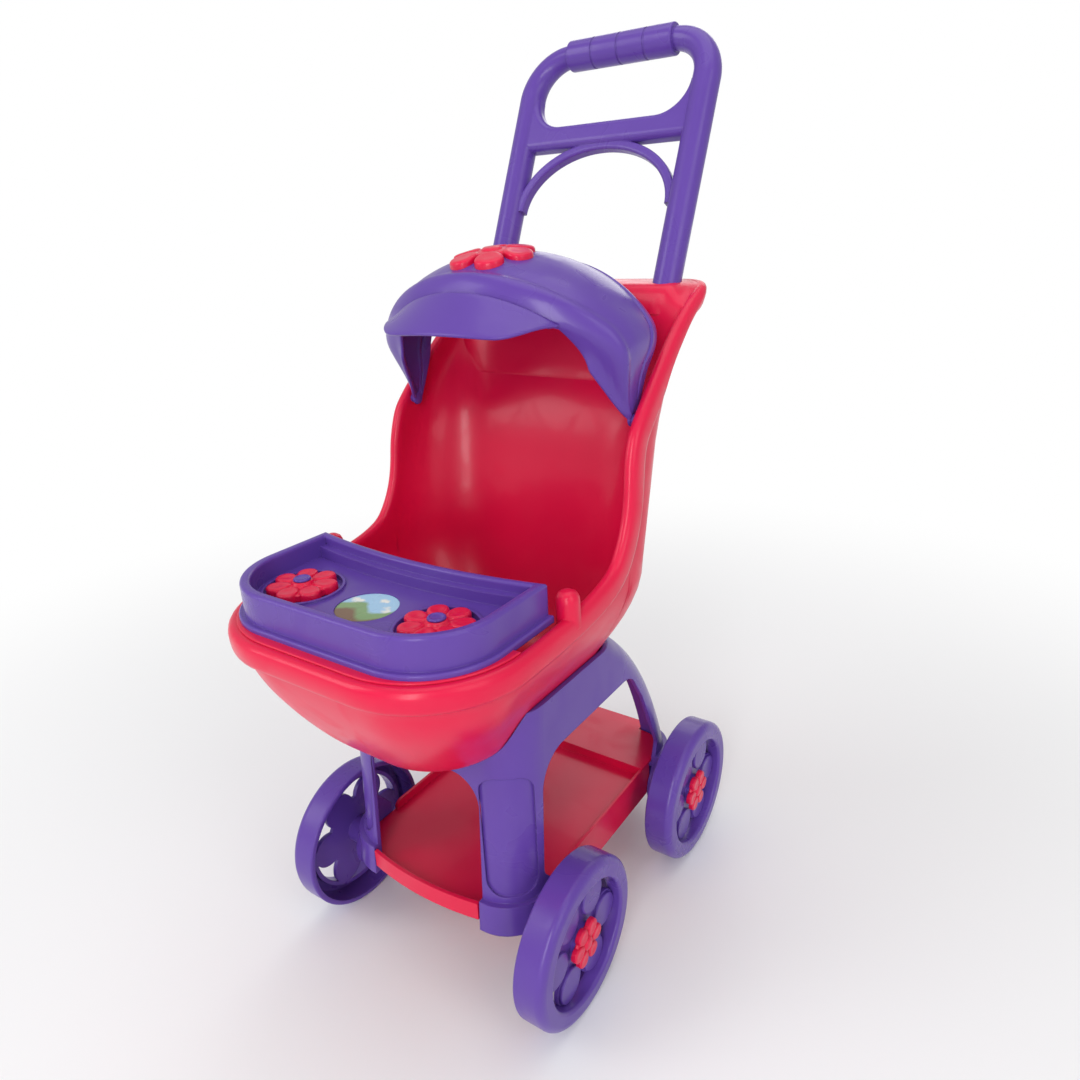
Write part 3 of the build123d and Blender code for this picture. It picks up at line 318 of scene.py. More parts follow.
# Bucket seat: a thin crimson shell with a rolled rim, smooth inside, whose back flares up to a shelf. Two
# sockets under the shelf take the handle, with pads behind them for its screws. The seat is moulded in one
# and screwed to the deck of the chassis.

BUCKET = (
    (202.0, -125.0, 0.0, 46.0, 40.0, 40.0),
    (206.0, -141.0, 15.0, 59.0, 46.0, 44.0),
    (214.0, -152.0, 25.0, 67.0, 50.0, 46.0),
    (236.0, -168.0, 39.0, 78.2, 51.0, 46.0),
    (262.0, -181.0, 48.5, 93.0, 55.0, 44.0),
    (285.0, -189.0, 53.0, 101.5, 64.0, 43.0),
    (303.0, -191.0, 55.0, 102.5, 66.0, 42.0),
    (330.0, -191.0, 58.0, 102.5, 66.0, 38.0),
    (363.0, -191.0, 62.5, 102.0, 66.0, 33.0),
    (384.0, -191.0, 67.0, 101.0, 66.0, 30.0),
    (407.0, -191.0, 75.5, 100.5, 66.0, 27.0),
    (429.0, -191.0, 89.0, 99.5, 66.0, 24.0),
    (451.0, -191.0, 107.0, 98.5, 66.0, 19.0),
    (471.0, -191.0, 123.0, 98.0, 66.0, 14.0),
    (488.0, -191.0, 132.0, 98.0, 66.0, 12.0),
)
BUCKET_FLOOR = 202.0
BUCKET_WALL = 3.0
BUCKET_INNER_BEND = 214.0
INNER_FILL = (230.0, 70.0, 440.0, 22.0)
RUN_STEP = 0.0004
RIM_LINE = (
    (-230.0, 302.0), (-35.0, 302.0), (-5.0, 335.0), (1.0, 388.0), (19.0, 411.0), (97.0, 475.0),
    (150.0, 487.0),
)
RIM_ROUNDS = 4
RIM_FRONT_STEPS = 8
RIM_CORNER_STEPS = 16
RIM_BACK_STEPS = 12
RIM_SETTLE = 6
RIM_LEAN_FADE = 45.0
CORNER_KEEP = 0.35
RIM_SIDE_STEPS = 130
RIM_ROLL = (
    (0.0, 19.5), (0.5, 18.0), (2.0, 17.0), (4.4, 16.4), (5.7, 15.2), (6.1, 13.0), (6.1, 9.0), (6.0, 6.0),
    (5.3, 3.2), (4.0, 1.3), (2.2, 0.3), (0.6, 0.0), (-1.0, 0.3), (-2.2, 1.2), (-2.9, 2.8), (-3.0, 5.0),
)
WALL_ROWS = 26
ROW_CROWD = 1.7
EDGE_ROUND = ((1.0, 0.0), (0.92, 0.38), (0.71, 0.71), (0.38, 0.92))
MERGE_GAP = 0.001
SHELF_FRONT = 93.0
SHELF_BACK = 131.0
SHELF_STEPS = 14
SHELF_THICK = 5.0
SHELF_SINK = 0.3
SHELF_INSET = 1.0
SHELF_EDGE = 1.6
SHELF_NOSE = 1.4
LUG_PLACE = (101.0, -73.0, 0.0)
LUG_PROFILE = (
    (0.4, 320.0), (3.2, 319.6), (5.8, 318.0), (7.2, 315.2), (7.5, 312.0), (7.5, 296.0), (0.4, 296.0),
)


def along(rows, height):
    """Values between the listed rows at a height, on a smooth curve through all of them."""
    last = len(rows) - 2
    spot = min(max(sum(row[0] <= height for row in rows) - 1, 0), last)
    low, high = rows[spot], rows[spot + 1]
    before, after = rows[max(spot - 1, 0)], rows[min(spot + 2, last + 1)]
    step = high[0] - low[0]
    t = (height - low[0]) / step
    values = []
    for k in range(1, len(low)):
        start = (high[k] - before[k]) / (high[0] - before[0]) * step
        finish = (after[k] - low[k]) / (after[0] - low[0]) * step
        values.append(
            (2 * t**3 - 3 * t**2 + 1) * low[k] + (t**3 - 2 * t**2 + t) * start
            + (3 * t**2 - 2 * t**3) * high[k] + (t**3 - t**2) * finish
        )
    return values


def bucket_wall(run, height, grow, fill=0.0):
    """A point of the bucket's right half. Run goes 0 to 5 from the middle of the front, round the two
    corners, to the middle of the back. It follows the outline at that height, grown outwards, with its back
    corners filled to a larger round."""
    front, back, half, front_round, back_round = along(BUCKET, height)
    front, back, half = front - grow, back + grow, half + grow
    front_round, back_round = front_round + grow, back_round + grow
    full = back_round + fill
    leg = min(int(run), 4)
    turn = (run - leg) * math.pi / 2
    if leg == 0:
        return (run * (half - front_round), front)
    if leg == 1:
        return (half - front_round * (1 - math.sin(turn)), front + front_round * (1 - math.cos(turn)))
    if leg == 2:
        start = front + front_round
        y = start + (run - leg) * (back - back_round - start)
        into = max(y - back + full, 0)
        return (half - full + math.sqrt(full**2 - into**2), y)
    if leg == 3:
        begun = math.asin(fill / full)
        turn = begun + (run - leg) * (math.pi / 2 - begun)
        return (half - full * (1 - math.cos(turn)), back - full * (1 - math.sin(turn)))
    return ((5 - run) * (half - full), back)


def inner_fill(height):
    """How much larger the round of the back corners is inside than outside at a height."""
    rise = min(max((height - INNER_FILL[0]) / INNER_FILL[1], 0), 1)
    fall = min(max((INNER_FILL[2] - height) / INNER_FILL[1], 0), 1)
    return INNER_FILL[3] * rise * fall


def side_run(y, height):
    """Where along the outline a point of the side stands, from its distance to the front."""
    front, back, half, front_round, back_round = along(BUCKET, height)
    if y < back - back_round:
        return 2 + (y - front - front_round) / (back - back_round - front - front_round)
    return 3 + math.asin(min((y - back + back_round) / back_round, 1)) / (math.pi / 2)


def rounded(points, times):
    """A polyline with its corners cut again and again until it is a smooth curve with the same ends."""
    for _ in range(times):
        cut = [points[0]]
        for a, b in zip(points, points[1:]):
            cut.append(tuple(0.75 * p + 0.25 * q for p, q in zip(a, b)))
            cut.append(tuple(0.25 * p + 0.75 * q for p, q in zip(a, b)))
        points = cut + [points[-1]]
    return points


def spread(points, count):
    """A number of even steps along a polyline."""
    lengths = [0.0]
    for a, b in zip(points, points[1:]):
        lengths.append(lengths[-1] + math.dist(a, b))
    even = []
    for i in range(count + 1):
        goal = lengths[-1] * i / count
        k = min(max(sum(length <= goal for length in lengths) - 1, 0), len(points) - 2)
        t = (goal - lengths[k]) / (lengths[k + 1] - lengths[k])
        even.append(tuple(p + t * (q - p) for p, q in zip(points[k], points[k + 1])))
    return even


def rim_height(line, y):
    """Height of the rim's side line over a distance from the front."""
    for (y0, z0), (y1, z1) in zip(line, line[1:]):
        if y0 <= y <= y1:
            return z0 + (z1 - z0) * (y - y0) / (y1 - y0)
    return line[-1][1]


def directions(sheet, i, j):
    """The ways along a column, along a row and out of a sheet of points."""
    down = sheet[min(i + 1, len(sheet) - 1)][j] - sheet[max(i - 1, 0)][j]
    across = sheet[i][min(j + 1, len(sheet[i]) - 1)] - sheet[i][max(j - 1, 0)]
    return down.normalized(), across.normalized(), down.cross(across).normalized()


def shell_mesh(name, sheet, thick, material):
    """A moulded wall of even thickness, from a sheet of points on its outer face, with round edges."""
    half = thick / 2

    def steps(count):
        before = [(0, -reach, tall) for reach, tall in EDGE_ROUND]
        after = [(count - 1, reach, tall) for reach, tall in reversed(EDGE_ROUND)]
        return before + [(k, 0.0, 1.0) for k in range(count)] + after

    wall = bmesh.new()
    for face in (1, -1):
        rows = []
        for i, reach_down, tall_down in steps(len(sheet)):
            row = []
            for j, reach_across, tall_across in steps(len(sheet[0])):
                down, across, out = directions(sheet, i, j)
                middle = sheet[i][j] - out * half + (down * reach_down + across * reach_across) * half
                row.append(wall.verts.new((middle + out * face * half * min(tall_down, tall_across)) * MM))
            rows.append(row)
        for low, high in zip(rows, rows[1:]):
            for k in range(len(low) - 1):
                wall.faces.new((low[k], low[k + 1], high[k + 1], high[k]))
    bmesh.ops.remove_doubles(wall, verts=wall.verts, dist=MERGE_GAP * MM)
    bmesh.ops.recalc_face_normals(wall, faces=wall.faces)
    mesh = bpy.data.meshes.new(name)
    wall.to_mesh(mesh)
    wall.free()
    mesh.materials.append(material)
    mesh.shade_smooth()
    return mesh


def mirrored(right):
    """A full ring from the points of its right half, which starts and ends in the middle plane."""
    return right + [(-x, y, z) for x, y, z in reversed(right[1:-1])]


rim_line = rounded(RIM_LINE, RIM_ROUNDS)
rim_low = RIM_LINE[0][1]
front, _, _, front_round, _ = along(BUCKET, rim_low)
side_start = front + front_round
_, back, _, _, back_round = along(BUCKET, RIM_LINE[-2][1])
corner_start = back - back_round
rim = [(step / RIM_FRONT_STEPS, rim_low, 0.0, -1.0) for step in range(RIM_FRONT_STEPS)]
rim += [(1 + step / RIM_CORNER_STEPS, rim_low, 0.0, -1.0) for step in range(RIM_CORNER_STEPS)]
side_line = [(side_start, rim_low)] + [p for p in rim_line if side_start < p[0] < corner_start]
side_points = spread(side_line, RIM_SIDE_STEPS)
for i, (y, z) in enumerate(side_points):
    ahead = side_points[min(i + 1, len(side_points) - 1)]
    behind = side_points[max(i - 1, 0)]
    fade = min((corner_start - y) / RIM_LEAN_FADE, 1)
    lean = (ahead[1] - behind[1]) / math.dist(ahead, behind) * fade
    rim.append((side_run(y, z), z, lean, -math.sqrt(1 - lean**2)))
last_run = rim[-1][0]
for step in range(1, RIM_BACK_STEPS + 1):
    run = last_run + (4 - last_run) * step / RIM_BACK_STEPS
    z = rim[-1][1]
    for _ in range(RIM_SETTLE):
        z = rim_height(rim_line, bucket_wall(run, z, 0)[1])
    rim.append((run, z, 0.0, -1.0))
rim += [(4 + step / RIM_BACK_STEPS, rim[-1][1], 0.0, -1.0) for step in range(1, RIM_BACK_STEPS + 1)]


def rim_point(stand, grow, down):
    """A point of the rolled rim: grown outwards, and moved down from the rim line square to it."""
    run, z, lean_y, lean_z = stand
    if 2 < run < 3:
        y = bucket_wall(run, z, 0)[1] + down * lean_y
        run = min(side_run(y, z + down * lean_z), 3 - CORNER_KEEP * (3 - run))
    z = z + down * lean_z
    return (*bucket_wall(run, z, grow), z), run


def with_lower_runs(feet):
    """The feet of the rim, each with its place along the outline lower down, in step with its neighbours."""
    settled = []
    for place, run in feet:
        lower = max(run, settled[-1][2] + RUN_STEP) if settled else run
        settled.append((place, run, lower))
    return settled


def run_below(foot, height):
    """Where a foot's column stands at a height: straight down from a steep rim, then at its lower place."""
    place, run, lower = foot
    return min(side_run(place[1], height), lower) if lower > run else run


rings = []
outer_feet = with_lower_runs([rim_point(stand, *RIM_ROLL[0]) for stand in rim])
for row in range(WALL_ROWS):
    share = (row / WALL_ROWS) ** ROW_CROWD
    ring = []
    for foot in outer_feet:
        z = BUCKET_FLOOR + (foot[0][2] - BUCKET_FLOOR) * share
        ring.append((*bucket_wall(run_below(foot, z), z, 0), z))
    rings.append(mirrored(ring))
for grow, down in RIM_ROLL:
    rings.append(mirrored([rim_point(stand, grow, down)[0] for stand in rim]))
inner_floor = BUCKET_FLOOR + BUCKET_WALL
inner_feet = with_lower_runs([rim_point(stand, *RIM_ROLL[-1]) for stand in rim])
for row in range(WALL_ROWS - 1, -1, -1):
    share = (row / WALL_ROWS) ** ROW_CROWD
    ring = []
    for foot in inner_feet:
        z = inner_floor + (foot[0][2] - inner_floor) * share
        lift = BUCKET_WALL * max(BUCKET_INNER_BEND - z, 0) / (BUCKET_INNER_BEND - inner_floor)
        ring.append((*bucket_wall(run_below(foot, z - lift), z - lift, -BUCKET_WALL, inner_fill(z)), z))
    rings.append(mirrored(ring))
bucket = grid_mesh("bucket", rings, crimson)


def wall_reach(y, height):
    """Half the width of the bucket at a height and a distance from its front, round its back corners too."""
    _, back, half, _, back_round = along(BUCKET, height)
    into = max(y - back + back_round, 0)
    return half - back_round + math.sqrt(max(back_round**2 - into**2, 0))


def turned_pair(name, profile, place, axis, material):
    """The same turned solid on the left and on the right."""
    return [turned(name, profile, (side * place[0], *place[1:]), axis, material) for side in (-1, 1)]


shelf_rings = []
for step in range(SHELF_STEPS + 1):
    y = SHELF_FRONT + step * (SHELF_BACK - SHELF_FRONT) / SHELF_STEPS
    top = rim_height(rim_line, y) - SHELF_SINK
    reach = wall_reach(y, top) - SHELF_INSET
    edge = 0.0 if step else SHELF_EDGE
    under = top - SHELF_THICK + edge
    over = top - edge
    shelf_rings.append([(-reach, y, under), (reach, y, under), (reach, y, over), (-reach, y, over)])
nose_middle = sum(z for x, y, z in shelf_rings[0]) / 4
shelf_nose = [(x, y - SHELF_NOSE, (z + nose_middle) / 2) for x, y, z in shelf_rings[0]]
shelf = grid_mesh("shelf", [shelf_nose] + shelf_rings, crimson)
lugs = turned_pair("lug", LUG_PROFILE, LUG_PLACE, (0, 0, 1), crimson)

APRON = (
    (416.0, 77.0), (425.0, 80.0), (440.0, 84.5), (455.0, 88.2), (467.0, 91.4), (474.5, 94.0), (478.6, 96.6),
    (480.6, 99.6), (481.4, 103.5), (481.8, 109.0), (482.1, 116.0), (482.4, 123.0), (482.7, 129.5),
)
APRON_INSET = 2.0
APRON_FALL = 14.0
APRON_COLUMNS = 32


def ease(share):
    """A smooth rise from 0 to 1 as a share goes from 0 to 1."""
    share = min(max(share, 0), 1)
    return share * share * (3 - 2 * share)


apron_sheet = []
for z, y in APRON:
    reach = wall_reach(y + BUCKET_WALL, z) - APRON_INSET
    drop = max(z - rim_height(rim_line, y), 0)
    row = []
    for k in range(APRON_COLUMNS, -APRON_COLUMNS - 1, -1):
        x = reach * k / APRON_COLUMNS
        fall = ease((abs(x) - reach + APRON_FALL) / APRON_FALL)
        row.append(Vector((x, y, z - drop * fall)))
    apron_sheet.append(row)
apron = shell_mesh("apron", apron_sheet, BUCKET_WALL, crimson)

SOCKET_BASE = (75.0, 112.0, 481.0)
HANDLE_LEAN = (0.0, 0.408, 0.913)
SOCKET_PROFILE = ((0.4, -28.0), (11.0, -28.0), (13.0, -27.2), (13.5, -25.0), (13.5, -14.0), (0.4, -14.0))
sockets = turned_pair("socket", SOCKET_PROFILE, SOCKET_BASE, HANDLE_LEAN, crimson)
PAD_PLACE = (75.0, 103.43, 461.83)
PAD_FACING = (0.0, 0.913, -0.408)
PAD_PROFILE = ((0.4, 5.0), (6.4, 5.0), (5.5, 12.0), (5.2, 14.6), (4.9, 15.2), (4.3, 15.5), (0.4, 15.5))
pads = turned_pair("pad", PAD_PROFILE, PAD_PLACE, PAD_FACING, crimson)
LEDGE_GROWS = (-1.2, -4.0, -8.0, -12.0)
LEDGE_Z = 301.7
LEDGE_THICK = 1.6
LEDGE_STEPS = 32
ledge_runs = [2 - 2 * step / LEDGE_STEPS for step in range(LEDGE_STEPS + 1)]
ledge_sheet = []
for grow in LEDGE_GROWS:
    right = [Vector((*bucket_wall(run, LEDGE_Z, grow), LEDGE_Z)) for run in ledge_runs]
    ledge_sheet.append([Vector((-p.x, p.y, p.z)) for p in right[:-1]] + right[::-1])
ledge = shell_mesh("ledge", ledge_sheet, LEDGE_THICK, crimson)
seat_meshes = [bucket, shelf, apron, ledge, *lugs, *sockets, *pads]
place_piece("seat_shell", seat_meshes, "frame", "crimson_plastic", "seat")

# Play tray: a purple dish clipped to the front of the seat rim, with wells for two spinners and a round inlay
# in the middle of its floor.

SKY = (0.36, 0.58, 0.78, 1)
CLOUD = (0.80, 0.80, 0.74, 1)
HILL = (0.22, 0.36, 0.16, 1)
EARTH = (0.20, 0.12, 0.07, 1)
INLAY_GLOSS = 0.22
INLAY_EDGE = 0.5
PUFF_SCALE = 95.0
PUFF_EDGE = (0.50, 0.60)
PUFF_TALL = 0.006
WAVE_PACE = 210.0
WAVE_TALL = 0.0045
HILL_EDGE = (-0.1345, -0.1375)
EARTH_EDGE = (-0.1435, -0.1475)


def between(signal, edge):
    """A signal that goes from 0 to 1 between two edges of another one."""
    return signal.node("ShaderNodeMapRange", {}, {"Value": signal, "From Min": edge[0], "From Max": edge[1]})


wear("tray", purple)
inlay = moulded_plastic("inlay_print", SKY, CLOUD, INLAY_GLOSS, INLAY_EDGE)
printed = inlay.node_tree.nodes["Principled BSDF"]
place = Signal(inlay.node_tree.nodes.new("ShaderNodeTexCoord").outputs["Object"])
across = place.node("ShaderNodeSeparateXYZ", {}, {0: place}, 0)
deep = place.node("ShaderNodeSeparateXYZ", {}, {0: place}, 1)
puffs = place.node("ShaderNodeTexNoise", {}, {"Vector": place, "Scale": PUFF_SCALE, "Detail": 2.0})
wave = place.math("SINE", across * WAVE_PACE, 0.0)
hill_line = deep + WAVE_TALL * wave + PUFF_TALL * puffs
sky_print = between(puffs, PUFF_EDGE).mix(SKY, CLOUD)
land_print = between(hill_line, EARTH_EDGE).mix(HILL, EARTH)
between(hill_line, HILL_EDGE).mix(sky_print, land_print).feed(printed, "Base Color")
wear("tray_disc", inlay)

# Spinners: two crimson flowers with seven petals, each moulded in one. They turn on purple headed pins that
# are pressed into the tray.

SPINNER_PLACE = (56.0, -139.5, 311.7)
SPINNER_PETALS = 7
SPINNER_PETAL = (14.8, 8.0, 6.5, 6.0, 0.0)
SPINNER_CORE = (
    (4.2, 0.0), (18.2, 0.0), (18.2, 4.0), (17.4, 4.6), (10.0, 4.8), (7.6, 5.0), (7.0, 5.6), (6.6, 6.6),
    (6.0, 7.2), (4.2, 7.3), (4.2, 0.0),
)
SPINNER_PIN = (
    (4.0, -2.7), (4.0, 7.5), (5.6, 7.6), (5.6, 8.0), (5.4, 8.5), (4.9, 8.9), (4.2, 9.0), (3.9, 8.7),
    (2.0, 8.6), (0.4, 8.6),
)

for side, sign in (("left", -1), ("right", 1)):
    centre = (sign * SPINNER_PLACE[0], *SPINNER_PLACE[1:])
    ring = flower_mesh(SPINNER_PETAL, SPINNER_PETALS, centre, (0, 0, 1), crimson)
    core = turned("core", SPINNER_CORE, centre, (0, 0, 1), crimson)
    place_piece(f"flower_{side}", [ring, core], f"spinner_{side}", "crimson_plastic", f"spinner_{side}")
    pin = turned("pin", SPINNER_PIN, centre, (0, 0, 1), purple)
    place_piece(f"button_{side}", [pin], "frame", "purple_plastic", f"spinner_pin_{side}")

# Hood: an arched purple shell that tilts on two studs in the seat wings, with a rolled front band, a raised
# border at the back and a visor under its front edge. The crimson flower is snapped on top.

HOOD = (
    (62.0, 101.0, 101.0, 43.0, 92.0, 67.0, 108.0),
    (76.0, 101.5, 101.5, 42.0, 92.0, 66.0, 107.0),
    (90.0, 101.5, 101.5, 42.0, 92.0, 66.0, 106.0),
    (104.0, 101.5, 101.0, 42.0, 91.5, 66.0, 106.0),
    (115.0, 101.0, 99.5, 42.0, 89.0, 66.0, 105.8),
    (122.0, 100.5, 94.0, 42.5, 81.0, 70.0, 105.0),
    (127.0, 99.5, 86.0, 44.0, 66.0, 80.0, 103.0),
)
PIVOT = (23.0, 402.0)
HOOD_WALL = 2.5
HOOD_FOOT = 10.0
HOOD_COLUMNS = 48
HOOD_ROWS = 16
CROWN_STEPS = 24
SHOULDER_STEPS = 12
LEG_STEPS = 12
HOOD_TIP = 5.0
TIP_ROUND = 3.8
TIP_TAPER = 75.0
TIP_RELIEF = 0.25
RIM_SQUARE = 129.4
TUCK_START = 11.0
TUCK_LENGTH = 42.0
TUCK_DEPTH = 6.2
REAR_STRIPS = (
    (0.0, 0.8), (4.0, 1.0), (8.0, 1.0), (9.0, 0.9), (9.6, 0.2), (10.2, -0.6), (10.8, -0.7), (11.6, -0.1),
    (13.0, 0.0), (16.0, 0.0),
)
FRONT_STRIPS = (
    (32.0, 0.0), (27.0, -0.1), (23.5, -0.3), (21.4, -0.2), (19.8, 0.4), (18.2, 1.0), (16.8, 1.3), (15.2, 1.2),
    (13.0, 0.5), (10.0, -0.7), (7.0, -2.0), (4.0, -3.5), (1.8, -4.7), (0.0, -5.8),
)
REAR_SHARE = 0.36
FRONT_SHARE = 0.46
VISOR_HALF = 67.0
VISOR_PLACE = (-33.0, 489.0)
VISOR_DROP = 18.0
VISOR_REACH = 25.0
VISOR_ROWS = 10
VISOR_COLUMNS = 56
VISOR_TAPER = 0.80
VISOR_ANGLE = 125.4
VISOR_WALL = 2.4
VISOR_CURL = (0.0, -0.05, -0.03)
BOSS_PLACE = 91.6
BOSS = (
    (0.4, 0.6), (4.0, 0.7), (4.7, 1.1), (5.0, 1.9), (4.7, 2.6), (4.2, 3.0), (3.5, 3.1), (3.5, 11.6),
    (3.1, 12.6), (0.4, 12.8),
)
HOOD_FLOWER_ANGLE = 99.0
HOOD_FLOWER_SEAT = 104.6
HOOD_FLOWER_PETALS = 6
HOOD_PETAL = (20.0, 9.8, 9.4, 5.4, 0.0046)
HOOD_CORE = (
    (14.5, -1.0), (14.5, 2.6), (13.8, 3.4), (12.0, 3.8), (7.2, 4.3), (6.8, 4.9), (5.6, 5.6), (0.4, 5.8),
)


def hood_arch(angle):
    """Half a section of the hood at an angle about its pivot, from the crown down to the right foot, as half
    width and distance from the pivot."""
    angle = min(max(angle, HOOD[0][0]), HOOD[-1][0])
    foot_half, side_half, side_top, shoulder_half, shoulder, crown = along(HOOD, angle)
    turn = math.radians(angle)
    centre = (crown**2 - shoulder_half**2 - shoulder**2) / (2 * (crown - shoulder))
    radius = crown - centre
    sweep = math.atan2(shoulder_half, shoulder - centre)
    arch = []
    for k in range(CROWN_STEPS + 1):
        at = sweep * k / CROWN_STEPS
        arch.append((radius * math.sin(at), centre + radius * math.cos(at)))
    lean = Vector((side_half - foot_half, side_top - HOOD_FOOT)).normalized()
    inwards = Vector((-lean.y, lean.x))
    across = Vector((shoulder_half - side_half, shoulder - side_top))
    bend = across.length_squared / (2 * inwards.dot(across))
    hub = Vector((side_half, side_top)) + inwards * bend
    start = math.atan2(shoulder - hub.y, shoulder_half - hub.x)
    stop = math.atan2(side_top - hub.y, side_half - hub.x)
    for k in range(1, SHOULDER_STEPS + 1):
        at = start + (stop - start) * k / SHOULDER_STEPS
        arch.append((hub.x + bend * math.cos(at), hub.y + bend * math.sin(at)))
    slope = (side_half - foot_half) / (side_top - HOOD_FOOT)
    for k in range(1, LEG_STEPS + 1):
        reach = side_top + (HOOD_TIP - side_top) * k / LEG_STEPS
        arch.append((foot_half + slope * (reach - HOOD_FOOT), reach))
    tuck_start = TUCK_START / math.cos(turn - math.radians(RIM_SQUARE))
    tucked = []
    for half, reach in arch:
        tuck = TUCK_DEPTH * (1 - ease((reach - tuck_start) / TUCK_LENGTH))
        tucked.append((half - tuck * min(half / foot_half, 1), reach))
    return tucked


def about_pivot(angle, half_width, reach):
    """A point of the hood from its angle, its half width and its distance from the pivot."""
    turn = math.radians(angle)
    return Vector((half_width, PIVOT[0] + reach * math.cos(turn), PIVOT[1] + reach * math.sin(turn)))


def widening(reach):
    """How many degrees the hood's leg is widened on each side near its round tip."""
    return math.degrees(math.asin(TIP_ROUND * max(1 - reach / TIP_TAPER, 0) / reach))


first_angle, last_angle = HOOD[0][0], HOOD[-1][0]
rear_arch = spread(hood_arch(first_angle), HOOD_COLUMNS)
front_arch = spread(hood_arch(last_angle), HOOD_COLUMNS)
columns = []
for j in range(HOOD_COLUMNS + 1):
    rear_reach, front_reach = rear_arch[j][1], front_arch[j][1]
    first = first_angle - widening(rear_reach)
    last = last_angle + widening(front_reach)
    rear_strip = min(math.degrees(REAR_STRIPS[-1][0] / rear_reach), REAR_SHARE * (last - first))
    front_strip = min(math.degrees(FRONT_STRIPS[0][0] / front_reach), FRONT_SHARE * (last - first))
    low = TIP_RELIEF + (1 - TIP_RELIEF) * ease(rear_reach / TIP_TAPER)
    rear = [(first + rear_strip * gap / REAR_STRIPS[-1][0], low * proud) for gap, proud in REAR_STRIPS]
    fore = [(last - front_strip * gap / FRONT_STRIPS[0][0], low * proud) for gap, proud in FRONT_STRIPS]
    plain_start, plain_end = rear[-1][0], fore[0][0]
    plain = [(plain_start + (plain_end - plain_start) * k / HOOD_ROWS, 0.0) for k in range(1, HOOD_ROWS)]
    columns.append([
        (about_pivot(angle, *spread(hood_arch(angle), HOOD_COLUMNS)[j]), proud)
        for angle, proud in rear + plain + fore
    ])
hood_sheet = []
for i in range(len(columns[0])):
    right = [column[i][0] for column in columns]
    hood_sheet.append([Vector((-p.x, p.y, p.z)) for p in reversed(right[1:])] + right)
raised = []
for i, row in enumerate(hood_sheet):
    proud = [columns[abs(j - HOOD_COLUMNS)][i][1] for j in range(len(row))]
    raised.append([p + directions(hood_sheet, i, j)[2] * proud[j] for j, p in enumerate(row)])
hood_shell = shell_mesh("hood_shell", raised, HOOD_WALL, purple)

visor_root = hood_arch(VISOR_ANGLE)
visor_sheet = [[] for _ in range(VISOR_ROWS + 1)]
for k in range(VISOR_COLUMNS + 1):
    x = VISOR_HALF * math.sin(math.pi / 2 * (2 * k / VISOR_COLUMNS - 1))
    outer = max(n for n, (half, reach) in enumerate(visor_root) if half <= abs(x) + 1e-9)
    near, far = visor_root[outer], visor_root[outer + 1]
    reach = near[1] + (far[1] - near[1]) * (abs(x) - near[0]) / (far[0] - near[0])
    root = about_pivot(VISOR_ANGLE, x, reach - HOOD_WALL / 2)
    bow = max(1 - (x / VISOR_HALF) ** 2, 0) ** 0.5
    lip_z = VISOR_PLACE[1] - VISOR_DROP * (x / VISOR_HALF) ** 2 - VISOR_REACH * bow
    lip = Vector((x, VISOR_PLACE[0] - VISOR_REACH * bow, lip_z))
    taper = ease(bow / VISOR_TAPER)
    for i in range(VISOR_ROWS + 1):
        visor_sheet[i].append(root + (lip - root) * taper * i / VISOR_ROWS + Vector(VISOR_CURL) * i)
visor = shell_mesh("visor", visor_sheet, VISOR_WALL, purple)

bosses = [turned("boss", BOSS, (side * BOSS_PLACE, *PIVOT), (side, 0, 0), purple) for side in (-1, 1)]
place_piece("hood_shell", [hood_shell, visor, *bosses], "hood", "purple_plastic", "canopy")

facing = about_pivot(HOOD_FLOWER_ANGLE, 0.0, 1.0) - Vector((0, *PIVOT))
flower_seat = about_pivot(HOOD_FLOWER_ANGLE, 0.0, HOOD_FLOWER_SEAT)
crown_ring = flower_mesh(HOOD_PETAL, HOOD_FLOWER_PETALS, flower_seat, facing, crimson)
crown_core = turned("core", HOOD_CORE, flower_seat, facing, crimson)
place_piece("hood_flower", [crown_ring, crown_core], "hood", "crimson_plastic", "canopy_flower")

# Handle: one purple moulding of two round rails, a cross-bar, an arched rib and a sleeve for the hands. Its
# rails go down into the seat's sockets and are screwed there.

wear("handle", purple)

# Screws: plain steel pan heads, turned and plated. They go in from under the deck, from under the basket and
# from behind the handle's sockets.

STEEL = (0.56, 0.57, 0.59, 1)
STEEL_DARK = (0.40, 0.41, 0.43, 1)
STEEL_GLOSS = 0.30
STEEL_EDGE = 0.2

steel = moulded_plastic("screw_steel", STEEL, STEEL_DARK, STEEL_GLOSS, STEEL_EDGE)
steel.node_tree.nodes["Principled BSDF"].inputs["Metallic"].default_value = 1.0
for group in ("seat_screws", "basket_screws", "handle_screws"):
    wear(group, steel)

# Studio: a pale floor under soft lamps, and a camera that stands a little above the seat, in front and to the
# right of the stroller.

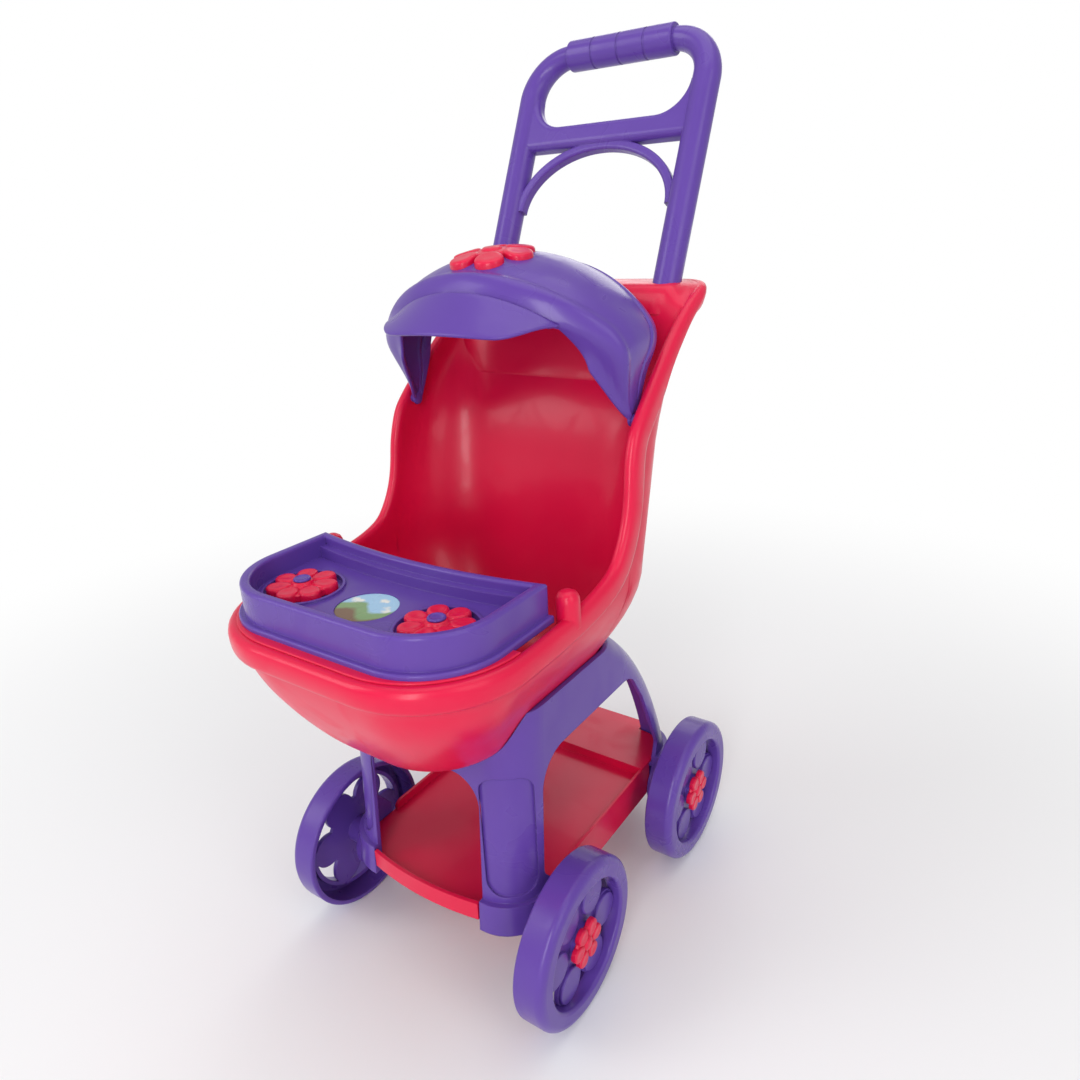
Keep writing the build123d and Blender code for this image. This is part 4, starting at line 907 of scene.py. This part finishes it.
FLOOR_HALF = 30.0
FLOOR_PALE = (0.86, 0.86, 0.87, 1)
FLOOR_DULL = 0.75
FADE = (0.30, 1.10)
PHOTO_SIDE = 1080
FOCAL_PIXELS = 798.0
SENSOR = 36.0
SKY_LIGHT = 0.50
SKY_SEEN = 0.50
SKY_GLINT = 0.10
CAMERA_PLACE = (0.334, -0.4364, 0.5191)
CAMERA_RIGHT = Vector((0.8306, 0.5552, -0.0407))
CAMERA_UP = Vector((-0.1690, 0.3212, 0.9318))
LAMPS = {
    "key": ((-1.30, -1.50, 1.45), (0.0, -0.05, 0.30), (0.9, 1.5), 13.0),
    "side": ((1.70, -0.55, 1.25), (0.0, 0.0, 0.30), (0.9, 1.5), 8.0),
    "top": ((0.10, 0.10, 2.10), (0.0, 0.0, 0.30), (1.6, 1.6), 9.0),
    "back": ((-0.60, 1.90, 1.30), (0.0, 0.0, 0.35), (1.2, 1.2), 6.0),
    "front": ((0.70, -1.90, 0.95), (0.0, 0.0, 0.35), (0.5, 1.6), 18.0),
}

floor_mesh = bpy.data.meshes.new("floor")
corners = [(x * FLOOR_HALF, y * FLOOR_HALF, 0) for x, y in ((-1, -1), (1, -1), (1, 1), (-1, 1))]
floor_mesh.from_pydata(corners, [], [(0, 1, 2, 3)])
floor = bpy.data.objects.new("floor", floor_mesh)
bpy.context.scene.collection.objects.link(floor)
floor_paint = bpy.data.materials.new("floor_paint")
floor_paint.use_nodes = True
floor_surface = floor_paint.node_tree.nodes["Principled BSDF"]
floor_surface.inputs["Base Color"].default_value = FLOOR_PALE
floor_surface.inputs["Roughness"].default_value = FLOOR_DULL
floor_mesh.materials.append(floor_paint)
floor_tree = floor_paint.node_tree
spot = Signal(floor_tree.nodes.new("ShaderNodeTexCoord").outputs["Object"])
path = floor_tree.nodes.new("ShaderNodeLightPath")
shown = Signal(path.outputs["Is Camera Ray"]) + Signal(path.outputs["Is Glossy Ray"])
shown = shown + Signal(path.outputs["Is Transmission Ray"])
distance = spot.node("ShaderNodeVectorMath", {"operation": "LENGTH"}, {0: spot}, 1)
fade = spot.node(
    "ShaderNodeMapRange", {"interpolation_type": "SMOOTHSTEP"},
    {"Value": distance, "From Min": FADE[0], "From Max": FADE[1]},
)
glow = floor_tree.nodes.new("ShaderNodeEmission")
blend = floor_tree.nodes.new("ShaderNodeMixShader")
(fade * shown).feed(blend, 0)
floor_tree.links.new(floor_surface.outputs[0], blend.inputs[1])
floor_tree.links.new(glow.outputs[0], blend.inputs[2])
floor_tree.links.new(blend.outputs[0], floor_tree.nodes["Material Output"].inputs["Surface"])

for name, (post, aim, size, power) in LAMPS.items():
    lamp = bpy.data.lights.new(name, "AREA")
    lamp.shape = "RECTANGLE"
    lamp.size, lamp.size_y = size
    lamp.energy = power
    stand = bpy.data.objects.new(name, lamp)
    stand.location = post
    stand.rotation_mode = "QUATERNION"
    stand.rotation_quaternion = (Vector(aim) - Vector(post)).to_track_quat("-Z", "Y")
    bpy.context.scene.collection.objects.link(stand)

world = bpy.data.worlds.new("studio")
world.use_nodes = True
sky = world.node_tree.nodes["Background"]
sky.inputs["Color"].default_value = (1, 1, 1, 1)
path = world.node_tree.nodes.new("ShaderNodeLightPath")
seen = SKY_SEEN * Signal(path.outputs["Is Camera Ray"]) + SKY_GLINT * Signal(path.outputs["Is Glossy Ray"])
seen = seen + SKY_SEEN * Signal(path.outputs["Is Transmission Ray"])
(SKY_LIGHT + seen).feed(sky, "Strength")
bpy.context.scene.world = world
bpy.context.scene.view_settings.view_transform = "Standard"

camera_data = bpy.data.cameras.new("camera")
camera_data.sensor_width = SENSOR
camera_data.lens = SENSOR * FOCAL_PIXELS / PHOTO_SIDE
camera = bpy.data.objects.new("camera", camera_data)
turn = Matrix((CAMERA_RIGHT, CAMERA_UP, CAMERA_RIGHT.cross(CAMERA_UP))).transposed().to_4x4()
camera.matrix_world = Matrix.Translation(CAMERA_PLACE) @ turn
bpy.context.scene.collection.objects.link(camera)
bpy.context.scene.camera = camera
